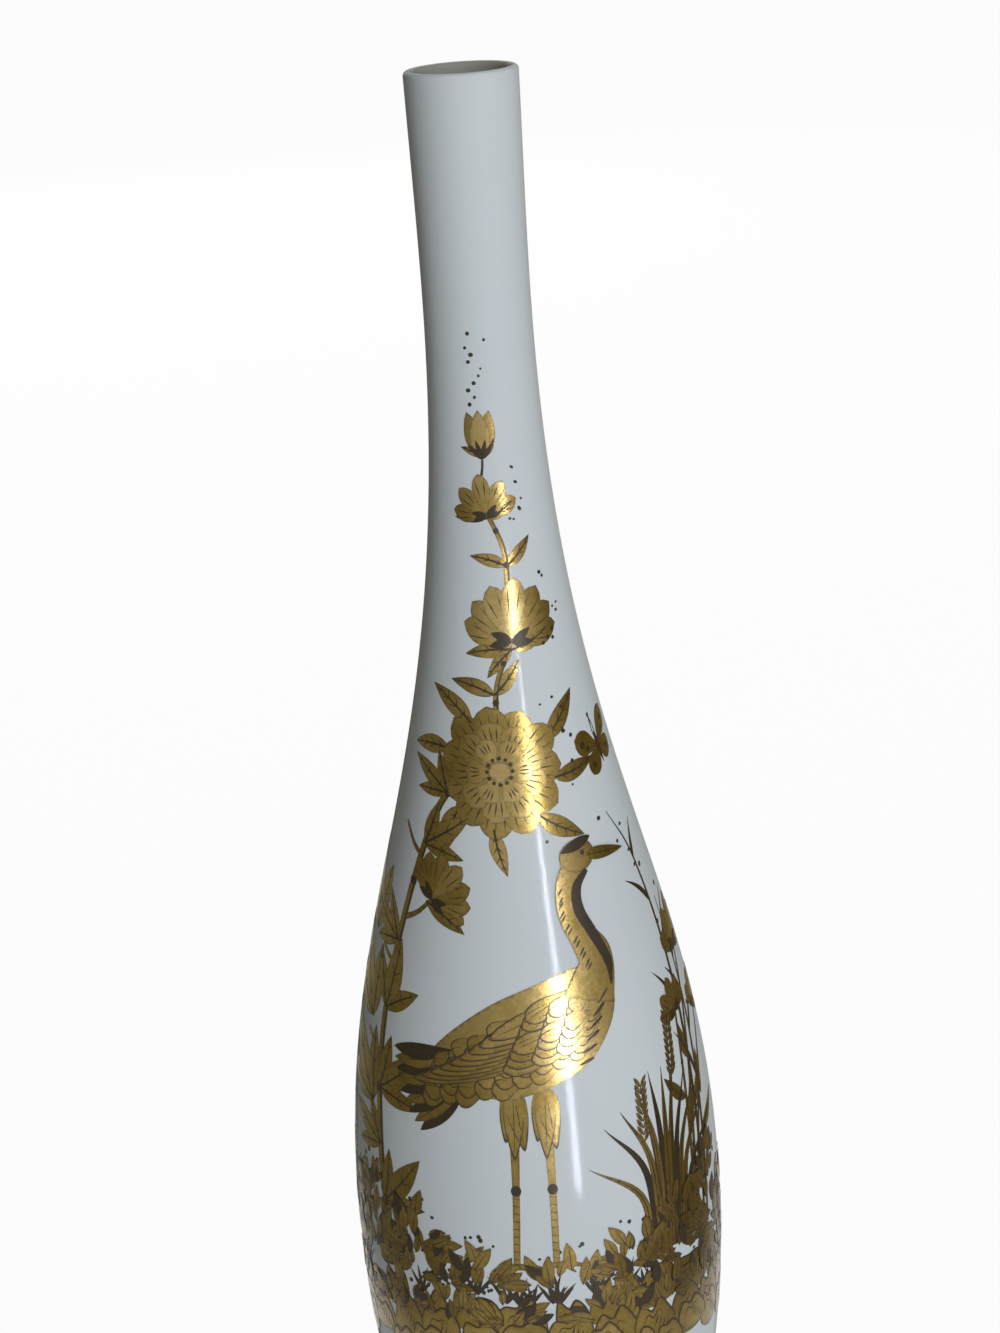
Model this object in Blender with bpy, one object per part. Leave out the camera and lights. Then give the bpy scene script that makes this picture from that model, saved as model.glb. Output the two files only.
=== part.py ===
"""Tall porcelain bottle vase with a gilt bird-and-flower decoration.

The wall is built as a potter builds a bottle whose mouth is too narrow for a hand: a foot ring, a lower
body, an upper body and a neck, made apart and luted together with slip. The gilding is a set of thin films
laid round the outside. Lengths are in metres, +Z is up, and the origin is the centre of the resting face.
The front of the decoration faces -Y.
"""

import math

import bmesh
import bpy
from mathutils import Vector
from mathutils.geometry import interpolate_bezier

# Overall outline
HEIGHT = 0.340
MOUTH_RADIUS = 0.0121
NECK_RADIUS = 0.01144
NECK_LENGTH = 0.047  # from the narrowest level up to the mouth
BELLY_RADIUS = 0.0406
BELLY_HEIGHT = 0.091
BASE_RADIUS = 0.0245  # outside of the lower body where it meets the foot ring
BASE_FLARE = 0.42  # outward run of the wall per unit of rise, just above the base

# Fullness of the outline: how far each curve keeps its end direction, as a share of its own rise
SHOULDER_FULLNESS = 0.35
NECK_SWEEP = 0.53
UNDERSIDE_FULLNESS = 0.35
BASE_SWEEP = 0.34

# Clay wall
WALL = 0.0022
FLOOR_THICKNESS = 0.005
FOOT_HEIGHT = 0.004
FOOT_WIDTH = 0.0038
FOOT_BEVEL = 0.0007

# Luted joints between the sections
LAP_LENGTH = 0.003  # length of the tongue on the upper piece
LUTE_THICKNESS = 0.0008
CLEARANCE = 0.0003  # between any two pieces that meet
NECK_SEAM_DROP = 0.080  # from the mouth down to the joint between neck and upper body

# Gilding
FILM = 0.0003
SPACING = 0.0016  # between neighbouring motifs
CRANE_HEIGHT = 0.0923
CRANE_GIRTH = 0.006  # how far right of the front the bird stands
BANK_DROP = 0.007  # from the belly's widest level down to the bank's highest point
BANK_DEPTH = 0.019
BANK_HUMP = 0.0045
BANK_FRONT_REACH = math.radians(100)
BANK_GAP = math.radians(5)
BLOSSOM_LARGE_RADIUS = 0.0130
BLOSSOM_MIDDLE_RADIUS = 0.0082
BLOSSOM_SMALL_RADIUS = 0.0060
BLOSSOM_SWAY = 0.0024  # how far the heads on the neck stand to alternate sides
BUD_LENGTH = 0.0105
BUD_WIDTH = 0.0052
TWIG_LENGTH = 0.008  # stalk between two blossoms on the neck
STEM_WIDTH = 0.0019
TWIG_WIDTH = 0.0011
LEAF_LENGTH = 0.021
LEAF_WIDTH = 0.0075
REED_HEIGHT = 0.044
REED_LEFT_HEIGHT = 0.026
REED_SPREAD = 0.013
BUTTERFLY_SPAN = 0.0085
BACK_STEM_LENGTH = 0.036
BACK_BLOSSOM_RADIUS = 0.0105
BACK_LEAF_LENGTH = 0.024

# Fineness of the faceted solids
WALL_SIDES = 40
SHOULDER_RINGS = 15
UNDERSIDE_RINGS = 7
MOUTH_RINGS = 4
LIP_FACETS = 4
ROUND_STEPS = 96  # points on each curve of the table that gives the wall's radius
SHEET_CELL_ANGLE = math.radians(8)
SHEET_CELL_HEIGHT = 0.009
SNAP = 0.00003  # cuts this near a corner go through it

BACK = math.pi

# Materials: colour, roughness and metallic value
PORCELAIN = ("porcelain", (0.62, 0.66, 0.69), 0.12, 0.0)
BISCUIT = ("biscuit", (0.72, 0.69, 0.64), 0.75, 0.0)
SLIP = ("slip", (0.66, 0.66, 0.65), 0.60, 0.0)
GOLD = ("gold", (0.45, 0.32, 0.09), 0.30, 1.0)

# The bird's outline, facing +X with its feet at the origin, in hundredths of its height
CRANE_OUTLINE = (
    (22.0, 95.0), (11.0, 94.0), (8.0, 89.5), (7.8, 83.5), (12.0, 77.0), (15.5, 71.0), (16.0, 64.5),
    (13.0, 57.0), (6.5, 49.5), (-1.0, 45.5), (-2.4, 43.0), (-2.2, 22.5), (-1.6, 20.0), (-2.4, 3.4),
    (5.0, 1.4), (5.0, 0.0), (-6.0, 0.0), (-4.8, 3.4), (-4.2, 20.0), (-4.8, 22.5), (-5.2, 43.0),
    (-8.0, 42.6), (-9.2, 42.0), (-10.4, 22.5), (-9.6, 20.0), (-11.8, 3.4), (-6.8, 1.4), (-6.8, 0.0),
    (-17.0, 0.0), (-14.2, 3.4), (-12.6, 20.0), (-13.2, 22.5), (-12.2, 43.0), (-19.5, 44.0), (-28.0, 39.0),
    (-36.0, 29.0), (-33.5, 38.0), (-40.0, 33.5), (-36.5, 42.0), (-42.0, 40.0), (-36.5, 48.5), (-28.0, 58.0),
    (-15.0, 66.5), (-2.5, 70.0), (4.5, 71.5), (6.6, 74.5), (4.2, 79.0), (2.2, 85.0), (2.0, 92.0),
    (4.4, 98.5), (8.0, 100.0), (11.8, 98.0), (13.5, 97.0),
)
CRANE_UNITS = 100
CRANE_TAIL_REACH = 42  # furthest the tail runs behind the feet, in the same units
CRANE_TOE_REACH = 5

# Course of the tall stem: its girth as a share of its furthest, at shares of its rise
STEM_COURSE = ((0.97, 0.0), (1.02, 0.25), (0.96, 0.5), (0.74, 0.75))

# Leaves of the tall stem: node, share of the stem's rise, and lean from the horizontal in degrees
STEM_LEAVES = (("gilt_leaf_low", 0.34, 122), ("gilt_leaf_middle", 0.52, 112), ("gilt_leaf_high", 0.70, 100))


def material(recipe):
    """The finish named in the recipe, made once and shared."""
    name, colour, roughness, metallic = recipe
    found = bpy.data.materials.get(name)
    if found:
        return found
    made = bpy.data.materials.new(name)
    made.use_nodes = True
    shader = made.node_tree.nodes["Principled BSDF"]
    shader.inputs["Base Color"].default_value = (*colour, 1.0)
    shader.inputs["Roughness"].default_value = roughness
    shader.inputs["Metallic"].default_value = metallic
    return made


def add_object(name, bm, recipe):
    """Turns a bmesh into a named, smooth-shaded object with its finish."""
    mesh = bpy.data.meshes.new(name)
    bm.to_mesh(mesh)
    bm.free()
    mesh.materials.append(material(recipe))
    mesh.shade_smooth()
    mesh.set_sharp_from_angle(angle=math.radians(35))
    made = bpy.data.objects.new(name, mesh)
    bpy.context.scene.collection.objects.link(made)
    return made


# The outline of the wall

def curve(start, start_handle, end_handle, end, steps):
    """Points (radius, height) on one Bezier stretch of the outline."""
    knots = [Vector((radius, height, 0.0)) for radius, height in (start, start_handle, end_handle, end)]
    return [(point.x, point.y) for point in interpolate_bezier(*knots, steps + 1)]


def outline(underside_steps, shoulder_steps, mouth_steps):
    """The outside of the wall from the base up to the mouth, as (radius, height)."""
    narrow_height = HEIGHT - NECK_LENGTH
    under_rise = BELLY_HEIGHT - FOOT_HEIGHT
    shoulder_rise = narrow_height - BELLY_HEIGHT
    base_rise = BASE_SWEEP * under_rise
    base = (BASE_RADIUS, FOOT_HEIGHT)
    belly = (BELLY_RADIUS, BELLY_HEIGHT)
    narrow = (NECK_RADIUS, narrow_height)
    mouth = (MOUTH_RADIUS, HEIGHT)
    under = curve(
        base,
        (BASE_RADIUS + BASE_FLARE * base_rise, FOOT_HEIGHT + base_rise),
        (BELLY_RADIUS, BELLY_HEIGHT - UNDERSIDE_FULLNESS * under_rise),
        belly,
        underside_steps,
    )
    shoulder = curve(
        belly,
        (BELLY_RADIUS, BELLY_HEIGHT + SHOULDER_FULLNESS * shoulder_rise),
        (NECK_RADIUS, narrow_height - NECK_SWEEP * shoulder_rise),
        narrow,
        shoulder_steps,
    )
    third = NECK_LENGTH / 3
    flare = curve(
        narrow,
        (NECK_RADIUS, narrow_height + third),
        ((NECK_RADIUS + 2 * MOUTH_RADIUS) / 3, HEIGHT - third),
        mouth,
        mouth_steps,
    )
    return under + shoulder[1:] + flare[1:]


FINE_OUTLINE = outline(ROUND_STEPS, ROUND_STEPS, ROUND_STEPS)
COARSE_OUTLINE = outline(UNDERSIDE_RINGS, SHOULDER_RINGS, MOUTH_RINGS)


def wall_radius(height):
    """Radius of the wall's outside at a height."""
    for (low_radius, low), (high_radius, high) in zip(FINE_OUTLINE, FINE_OUTLINE[1:]):
        if height <= high:
            share = max(0.0, (height - low) / (high - low))
            return low_radius + share * (high_radius - low_radius)
    return FINE_OUTLINE[-1][0]


def wall_between(low, high):
    """The outside of the wall between two heights, both ends included."""
    inner = [(radius, height) for radius, height in COARSE_OUTLINE if low < height < high]
    return [(wall_radius(low), low)] + inner + [(wall_radius(high), high)]


def inside(points):
    """The inside of the wall beside these points of its outside."""
    return [(radius - WALL, height) for radius, height in points]


# Turned clay sections

def turned(name, section, recipe):
    """Spins a closed cross-section of (radius, height) points round the axis into a solid."""
    bm = bmesh.new()
    loop = [bm.verts.new((radius, 0.0, height)) for radius, height in section]
    edges = [bm.edges.new(pair) for pair in zip(loop, loop[1:] + loop[:1])]
    bmesh.ops.spin(
        bm, geom=loop + edges, cent=(0, 0, 0), axis=(0, 0, 1), angle=2 * math.pi,
        steps=WALL_SIDES, use_merge=True, use_duplicate=False,
    )
    bmesh.ops.remove_doubles(bm, verts=bm.verts, dist=1e-6)
    on_axis = [edge for edge in bm.edges if all(v.co.xy.length < 1e-6 for v in edge.verts)]
    bmesh.ops.delete(bm, geom=on_axis, context="EDGES")
    bmesh.ops.recalc_face_normals(bm, faces=bm.faces)
    return add_object(name, bm, recipe)


def lap_radius(seam):
    """Radius of the cylinder that parts tongue and socket at a seam."""
    return wall_radius(seam) - WALL / 2


def socket_face(seam):
    """Face of a socket that takes a tongue, from its rim down to its inner step."""
    radius = lap_radius(seam) + CLEARANCE / 2
    return [(radius, seam), (radius, socket_step(seam))]


def tongue_face(seam):
    """Face of a tongue, from its tip up to the shoulder above it."""
    radius = lap_radius(seam) - CLEARANCE / 2
    return [(radius, tongue_tip(seam)), (radius, tongue_shoulder(seam))]


def socket_step(seam):
    """Height of the step inside a socket."""
    return seam - LAP_LENGTH


def tongue_tip(seam):
    """Height of the lowest point of a tongue, clear of the step under it."""
    return socket_step(seam) + CLEARANCE


def tongue_shoulder(seam):
    """Height of the shoulder above a tongue, clear of the slip under it."""
    return seam + LUTE_THICKNESS + 2 * CLEARANCE


def lip():
    """The rounded edge of the mouth, from the outside over the top to the inside."""
    round_radius = WALL / 2
    centre = MOUTH_RADIUS - round_radius
    steps = [math.pi * step / LIP_FACETS for step in range(1, LIP_FACETS)]
    level = HEIGHT - round_radius
    return [(centre + round_radius * math.cos(a), level + round_radius * math.sin(a)) for a in steps]


def make_foot_ring():
    outer = BASE_RADIUS
    inner = BASE_RADIUS - FOOT_WIDTH
    top = FOOT_HEIGHT - CLEARANCE
    section = [
        (inner, top), (outer, top), (outer, FOOT_BEVEL), (outer - FOOT_BEVEL, 0.0),
        (inner + FOOT_BEVEL, 0.0), (inner, FOOT_BEVEL),
    ]
    turned("foot_ring", section, BISCUIT)


def make_lower_body():
    seam = BELLY_HEIGHT
    floor = FOOT_HEIGHT + FLOOR_THICKNESS
    outer = wall_between(FOOT_HEIGHT, seam)
    inner = inside(wall_between(floor, socket_step(seam)))
    section = [(0.0, FOOT_HEIGHT)] + outer + socket_face(seam) + inner[::-1] + [(0.0, floor)]
    turned("lower_body", section, PORCELAIN)


def make_upper_body():
    low, high = BELLY_HEIGHT, neck_seam()
    outer = wall_between(tongue_shoulder(low), high)
    inner = inside(wall_between(tongue_tip(low), socket_step(high)))
    turned("upper_body", tongue_face(low) + outer + socket_face(high) + inner[::-1], PORCELAIN)


def make_neck():
    seam = neck_seam()
    lip_level = HEIGHT - WALL / 2
    outer = wall_between(tongue_shoulder(seam), lip_level)
    inner = inside(wall_between(tongue_tip(seam), lip_level))
    turned("neck", tongue_face(seam) + outer + lip() + inner[::-1], PORCELAIN)


def neck_seam():
    """Height of the joint between the upper body and the neck."""
    return HEIGHT - NECK_SEAM_DROP


def make_lute(name, seam):
    """The ring of slip between two sections."""
    low = seam + CLEARANCE
    high = low + LUTE_THICKNESS
    inner = lap_radius(seam) + CLEARANCE / 2
    section = [(inner, low), (wall_radius(low), low), (wall_radius(high), high), (inner, high)]
    turned(name, section, SLIP)


# Gilt films: each is drawn flat as (girth, height), then wrapped round the wall

def smooth_path(points, steps):
    """A Catmull-Rom curve through the points."""
    knots = [Vector(point) for point in points]
    knots = [2 * knots[0] - knots[1]] + knots + [2 * knots[-1] - knots[-2]]
    path = []
    for a, b, c, d in zip(knots, knots[1:], knots[2:], knots[3:]):
        stretch = interpolate_bezier(b.to_3d(), (b + (c - a) / 6).to_3d(), (c - (d - b) / 6).to_3d(),
                                     c.to_3d(), steps + 1)
        path += [point.to_2d() for point in stretch[:-1]]
    return path + [knots[-2]]


def ribbon(points, start_width, end_width, steps=4):
    """Outline of a stroke along a path that narrows from one width to the other."""
    path = smooth_path(points, steps)
    left, right = [], []
    for index, point in enumerate(path):
        ahead = path[min(index + 1, len(path) - 1)] - path[max(index - 1, 0)]
        across = Vector((-ahead.y, ahead.x)).normalized()
        share = index / (len(path) - 1)
        half = (start_width + share * (end_width - start_width)) / 2
        left.append(point + across * half)
        right.append(point - across * half)
    return left + right[::-1]


def leaf(base, direction, length, width, steps=6):
    """Outline of a pointed leaf that grows from its base."""
    along = Vector((math.cos(direction), math.sin(direction)))
    across = Vector((-along.y, along.x))
    stations = [step / steps for step in range(1, steps)]
    sides = [(along * length * t, across * width / 2 * math.sin(math.pi * t ** 0.8)) for t in stations]
    start, tip = Vector(base), Vector(base) + along * length
    left = [start + run + half for run, half in sides]
    right = [start + run - half for run, half in sides]
    return [start] + right + [tip] + left[::-1]


def blossom(centre, radius, petals, notch=0.22, per_petal=5):
    """Outline of a flower head whose edge is cut into petals."""
    count = petals * per_petal
    outline_points = []
    for step in range(count):
        angle = 2 * math.pi * step / count
        reach = radius * (1 - notch * abs(math.cos(petals * angle / 2)) ** 4)
        outline_points.append(Vector(centre) + reach * Vector((math.sin(angle), math.cos(angle))))
    return outline_points[::-1]


def butterfly(centre, span, tilt, steps=40):
    """Outline of a butterfly with its wings spread, the upper pair the larger."""
    points = []
    for step in range(steps):
        angle = 2 * math.pi * step / steps
        reach = span * (0.26 + 0.74 * abs(math.sin(2 * angle)) ** 0.8)
        if math.sin(angle) < 0:
            reach *= 0.78
        points.append(Vector(centre) + reach * Vector((math.cos(angle + tilt), math.sin(angle + tilt))))
    return points


def reeds(foot, height, spread, blades=5):
    """Outline of a tuft of blades that fan out from one root."""
    girth, level = foot
    blade_width = spread / blades
    points = []
    for blade in range(blades):
        lean = (blade - (blades - 1) / 2) / (blades - 1) * 2
        left = girth - spread / 2 + blade * blade_width
        right = left + blade_width
        rise = height * (1.0 - 0.35 * abs(lean) ** 1.5)
        tip = (left + blade_width / 2 + lean * spread, level + rise)
        bend = lean * spread * 0.3
        points += [
            (left, level), (left + bend + 0.12 * blade_width, level + 0.55 * rise), tip,
            (right + bend - 0.12 * blade_width, level + 0.55 * rise),
        ]
    return [Vector(p) for p in points] + [Vector((girth + spread / 2, level))]


def bank(reach, steps):
    """Outline of a bank of rocks that runs round the belly, reach to each side of its middle."""
    top, bottom = [], []
    for step in range(steps + 1):
        angle = reach * (2 * step / steps - 1)
        high = bank_top() - BANK_HUMP * (1 - abs(math.sin(4.5 * angle)) ** 0.7)
        low = bank_top() - BANK_DEPTH + BANK_HUMP * abs(math.sin(3.1 * angle + 0.6))
        taper = min(1.0, 6 * (1 - abs(angle) / reach) + 0.15)
        middle = (high + low) / 2
        high = middle + taper * (high - middle)
        low = middle + taper * (low - middle)
        top.append(Vector((angle * wall_radius(high), high)))
        bottom.append(Vector((angle * wall_radius(low), low)))
    return bottom + top[::-1]


def facing_out(points):
    """The outline in the order that makes its face look outwards."""
    area = sum(a.x * b.y - b.x * a.y for a, b in zip(points, points[1:] + points[:1]))
    return points if area > 0 else points[::-1]


def gild(name, flat_outline, side=0.0):
    """Wraps a flat outline round the wall as a thin gold film. Side is the azimuth of its zero girth."""
    points = facing_out([Vector(point) for point in flat_outline])
    bm = bmesh.new()
    bm.faces.new([bm.verts.new((point.x, 0.0, point.y)) for point in points])
    heights = [point.y for point in points]
    girths = [point.x for point in points]
    cell = SHEET_CELL_ANGLE * min(wall_radius(min(heights)), wall_radius(max(heights)))
    cut_sheet(bm, min(girths), max(girths), cell, Vector((1, 0, 0)))
    cut_sheet(bm, min(heights), max(heights), SHEET_CELL_HEIGHT, Vector((0, 0, 1)))
    bmesh.ops.triangulate(bm, faces=bm.faces)
    for vert in bm.verts:
        radius = wall_radius(vert.co.z)
        angle = side + vert.co.x / radius
        lifted = radius + CLEARANCE
        vert.co = (lifted * math.sin(angle), -lifted * math.cos(angle), vert.co.z)
    made = add_object(name, bm, GOLD)
    shell = made.modifiers.new("film", "SOLIDIFY")
    shell.thickness = FILM
    shell.offset = 1.0
    return made


def cut_sheet(bm, low, high, cell, normal):
    """Cuts a flat sheet into strips no wider than a cell, so that it can bend."""
    strips = max(1, math.ceil((high - low) / cell))
    for strip in range(1, strips):
        at = low + strip * (high - low) / strips
        bmesh.ops.bisect_plane(bm, geom=bm.verts[:] + bm.edges[:] + bm.faces[:], dist=SNAP,
                               plane_co=normal * at, plane_no=normal)


# Levels of the decoration, from the belly up

def bank_top():
    return BELLY_HEIGHT - BANK_DROP


def motif_foot():
    """Height at which the bird, the stems and the reeds stand, just clear of the bank."""
    return bank_top() + SPACING


def crane_reach(units):
    """A distance on the bird's outline at its real size."""
    return units * CRANE_HEIGHT / CRANE_UNITS


def neck_levels():
    """Heights of the flower heads, stacked up the shoulder and the neck from above the bird."""
    large = motif_foot() + CRANE_HEIGHT + 2 * SPACING + BLOSSOM_LARGE_RADIUS
    twig = TWIG_LENGTH + 2 * SPACING
    middle = large + BLOSSOM_LARGE_RADIUS + twig + BLOSSOM_MIDDLE_RADIUS
    small = middle + BLOSSOM_MIDDLE_RADIUS + twig + BLOSSOM_SMALL_RADIUS
    return {"large": large, "middle": middle, "small": small, "bud": small + BLOSSOM_SMALL_RADIUS + SPACING}


def make_banks():
    gild("gilt_bank_front", bank(BANK_FRONT_REACH, 60))
    gild("gilt_bank_back", bank(math.pi - BANK_FRONT_REACH - BANK_GAP, 44), BACK)


def make_crane():
    outline_points = [(CRANE_GIRTH + crane_reach(x), motif_foot() + crane_reach(z)) for x, z in CRANE_OUTLINE]
    gild("gilt_crane", outline_points)


def stem_girth():
    """Girth of the tall stem, clear of the bird's tail."""
    return CRANE_GIRTH - crane_reach(CRANE_TAIL_REACH) - 3 * SPACING - STEM_WIDTH


def make_flowering_stem():
    """The tall stem behind the bird, and the flower heads that it carries up the neck."""
    levels = neck_levels()
    large = (-BLOSSOM_SWAY, levels["large"])
    middle = (BLOSSOM_SWAY, levels["middle"])
    small = (-BLOSSOM_SWAY / 2, levels["small"])
    foot = motif_foot()
    head = large[1] - BLOSSOM_LARGE_RADIUS * 0.6
    rise = head - foot
    side = stem_girth()
    tip = large[0] - BLOSSOM_LARGE_RADIUS - SPACING
    course = [(side * reach, foot + share * rise) for reach, share in STEM_COURSE]
    gild("gilt_stem", ribbon(course + [(tip, head)], STEM_WIDTH, TWIG_WIDTH))
    gild("gilt_blossom_large", blossom(large, BLOSSOM_LARGE_RADIUS, 9))
    gild("gilt_blossom_middle", blossom(middle, BLOSSOM_MIDDLE_RADIUS, 8))
    gild("gilt_blossom_small", blossom(small, BLOSSOM_SMALL_RADIUS, 6))
    gild("gilt_bud", leaf((small[0], levels["bud"]), math.pi / 2, BUD_LENGTH, BUD_WIDTH))
    make_twig("gilt_twig_low", large, BLOSSOM_LARGE_RADIUS, middle)
    make_twig("gilt_twig_high", middle, BLOSSOM_MIDDLE_RADIUS, small)
    make_stem_leaves(foot, rise, side)


def make_twig(name, lower, lower_radius, upper):
    """The stalk from one flower head towards the next."""
    start = lower[1] + lower_radius + SPACING
    gild(name, ribbon([(lower[0], start), (upper[0], start + TWIG_LENGTH)], TWIG_WIDTH, TWIG_WIDTH))


def make_stem_leaves(foot, rise, side):
    """Leaves on the outer side of the tall stem."""
    clear = STEM_WIDTH / 2 + SPACING
    for name, share, lean in STEM_LEAVES:
        base = (side * 1.02 - clear, foot + share * rise)
        gild(name, leaf(base, math.radians(lean), LEAF_LENGTH, LEAF_WIDTH))


def make_reeds():
    """Tufts on the bank, one in front of the bird and one behind the tall stem."""
    foot = motif_foot()
    toes = CRANE_GIRTH + crane_reach(CRANE_TOE_REACH)
    gild("gilt_reeds_right", reeds((toes + 1.6 * REED_SPREAD, foot), REED_HEIGHT, REED_SPREAD))
    behind = stem_girth() - STEM_WIDTH - 1.5 * REED_SPREAD
    gild("gilt_reeds_left", reeds((behind, foot), REED_LEFT_HEIGHT, REED_SPREAD))


def make_butterflies():
    """One butterfly beside the large blossom, and one above the flower on the back."""
    large = neck_levels()["large"]
    girth = BLOSSOM_LARGE_RADIUS + SPACING + 1.1 * BUTTERFLY_SPAN
    gild("gilt_butterfly_front", butterfly((girth, large), BUTTERFLY_SPAN, 0.4))
    back_top = motif_foot() + BACK_STEM_LENGTH + 2 * BACK_BLOSSOM_RADIUS
    gild("gilt_butterfly_back", butterfly((0.0, back_top + 4 * BUTTERFLY_SPAN), BUTTERFLY_SPAN, -0.3), BACK)


def make_back_spray():
    """A single flower with two leaves on the side away from the bird."""
    foot = motif_foot()
    top = foot + BACK_STEM_LENGTH
    gild("gilt_back_stem", ribbon([(0.0, foot), (0.0015, (foot + top) / 2), (0.0, top)],
                                  STEM_WIDTH, TWIG_WIDTH), BACK)
    centre = (0.0, top + SPACING + BACK_BLOSSOM_RADIUS)
    gild("gilt_back_blossom", blossom(centre, BACK_BLOSSOM_RADIUS, 9), BACK)
    clear = STEM_WIDTH + SPACING
    for name, way in (("gilt_back_leaf_left", -1), ("gilt_back_leaf_right", 1)):
        base = (way * clear, foot + 0.35 * BACK_STEM_LENGTH)
        direction = math.pi / 2 - way * math.radians(52)
        gild(name, leaf(base, direction, BACK_LEAF_LENGTH, LEAF_WIDTH), BACK)


def main():
    for old in list(bpy.data.objects):
        bpy.data.objects.remove(old)
    make_foot_ring()
    make_lower_body()
    make_lute("belly_lute", BELLY_HEIGHT)
    make_upper_body()
    make_lute("neck_lute", neck_seam())
    make_neck()
    make_banks()
    make_crane()
    make_flowering_stem()
    make_reeds()
    make_butterflies()
    make_back_spray()


main()
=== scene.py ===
"""Looks of a tall porcelain bottle vase with gilt bird-and-flower decoration.

The glazed wall is turned as one shell over the clay sections. Every gilt motif is drawn flat on a sheet in
millimetres, girth to the right and height up, and then wrapped round the wall as a thin film of gold and
sepia marks. The front of the decoration faces -Y.
"""

import bisect
import math
import random

import bmesh
import bpy
from mathutils import Matrix, Vector
from mathutils.geometry import interpolate_bezier


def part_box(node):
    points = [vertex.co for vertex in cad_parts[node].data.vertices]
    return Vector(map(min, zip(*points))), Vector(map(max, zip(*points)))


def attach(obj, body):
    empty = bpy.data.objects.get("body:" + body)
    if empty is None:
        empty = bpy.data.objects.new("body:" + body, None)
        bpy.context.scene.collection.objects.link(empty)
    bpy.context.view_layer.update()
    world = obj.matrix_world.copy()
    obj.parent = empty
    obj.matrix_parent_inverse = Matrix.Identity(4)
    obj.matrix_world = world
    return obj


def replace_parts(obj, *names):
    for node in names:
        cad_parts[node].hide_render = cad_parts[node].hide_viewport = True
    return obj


bl_info = {
    "name": "Gilt Bottle Vase",
    "version": (1, 0, 0),
    "blender": (4, 5, 0),
    "location": "View3D > Sidebar > Vase",
    "description": "Builds the glaze, the gilding and the stage of a tall porcelain bottle vase",
    "category": "Object",
}

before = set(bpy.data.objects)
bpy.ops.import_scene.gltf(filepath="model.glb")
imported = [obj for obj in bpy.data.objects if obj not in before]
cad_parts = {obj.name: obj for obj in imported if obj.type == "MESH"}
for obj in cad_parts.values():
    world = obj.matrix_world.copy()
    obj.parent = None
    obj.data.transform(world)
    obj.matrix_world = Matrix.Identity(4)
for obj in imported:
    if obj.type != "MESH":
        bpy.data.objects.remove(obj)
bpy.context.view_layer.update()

BODY = "root"
MM = 0.001
FRONT, BACK = 0.0, math.pi


def node_low(node):
    """Lowest corner of a node's box."""
    return Vector(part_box(node)[0])


def node_high(node):
    """Highest corner of a node's box."""
    return Vector(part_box(node)[1])


# Settings

def number(label, text, default, **more):
    """A plain number."""
    return bpy.props.FloatProperty(name=label, description=text, default=default, **more)


def length(label, text, default):
    """A length in metres."""
    return number(label, text, default, unit="LENGTH", precision=5)


def share(label, text, default):
    """A plain factor."""
    return number(label, text, default, subtype="FACTOR")


def slant(label, text, degrees):
    """An angle, given in degrees."""
    return number(label, text, math.radians(degrees), subtype="ANGLE")


def tint(label, text, default):
    """A linear colour."""
    return bpy.props.FloatVectorProperty(name=label, description=text, default=default, size=3,
                                         subtype="COLOR", min=0.0, max=1.0)


class WallSettings(bpy.types.PropertyGroup):
    """Outline and thickness of the wall"""

    height: length("Height", "Top of the lip above the table", node_high("neck").z)
    mouth_radius: length("Mouth radius", "Outside of the lip", 0.0121)
    neck_radius: length("Neck radius", "Outside of the neck at its narrowest", 0.01144)
    neck_length: length("Neck length", "From the narrowest level up to the lip", 0.047)
    belly_radius: length("Belly radius", "Outside of the belly at its widest", node_high("lower_body").x)
    belly_height: length("Belly height", "Level of the widest point", node_high("lower_body").z)
    base_radius: length("Base radius", "Outside of the wall above the foot ring", node_high("foot_ring").x)
    base_height: length("Base height", "Level where the wall meets the foot ring", node_low("lower_body").z)
    base_flare: share("Base flare", "Outward run of the wall per unit of rise above the base", 0.42)
    shoulder_fullness: share("Shoulder fullness", "How far the belly's curve stays upright above it", 0.35)
    neck_sweep: share("Neck sweep", "How far the neck's curve stays upright below it", 0.53)
    under_fullness: share("Underside fullness", "How far the belly's curve stays upright below it", 0.35)
    base_sweep: share("Base sweep", "How far the base keeps its flare", 0.34)
    thickness: length("Wall thickness", "Thickness of the glazed wall", 0.0022)
    floor: length("Floor thickness", "Thickness of the floor", 0.005)


class GlazeSettings(bpy.types.PropertyGroup):
    """Colours of clay and glaze"""

    white: tint("Glaze", "Cool white of the glazed porcelain", (0.600, 0.655, 0.680))
    pale: tint("Thick glaze", "Where the glaze lies thicker", (0.645, 0.690, 0.705))
    speck: tint("Specks", "Fine iron specks in the glaze", (0.40, 0.37, 0.32))
    # Inside: painted shade, a darker colour for the inner wall of the neck, where the hollow gets less light
    inside: tint("Inside", "Dull thin glaze inside the neck", (0.36, 0.355, 0.315))
    biscuit: tint("Biscuit", "Bare fired clay under the foot", (0.62, 0.58, 0.51))
    soil: tint("Soil", "Dirt rubbed into the bare clay", (0.34, 0.29, 0.22))


class GildingSettings(bpy.types.PropertyGroup):
    """Colours and thickness of the gilding"""

    deep: tint("Deep gold", "Gold where it lies thin and brown", (0.095, 0.060, 0.011))
    gold: tint("Gold", "Main colour of the gold", (0.215, 0.152, 0.044))
    light: tint("Light gold", "Gold where it is burnished", (0.36, 0.268, 0.115))
    sepia: tint("Sepia", "Dark outline and line work", (0.022, 0.015, 0.007))
    umber: tint("Umber", "Lighter passages of the line work", (0.056, 0.037, 0.016))
    film: length("Film", "Thickness of a film, most of it sunk in the glaze", 0.00006)
    lift: length("Lift", "Height of the lowest film's face above the glaze", 0.00004)
    layer: length("Layer", "Step from one film to one that lies over it", 0.000008)
    crane_girth: length("Bird's place", "How far right of the front the bird stands", 0.006)


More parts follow.
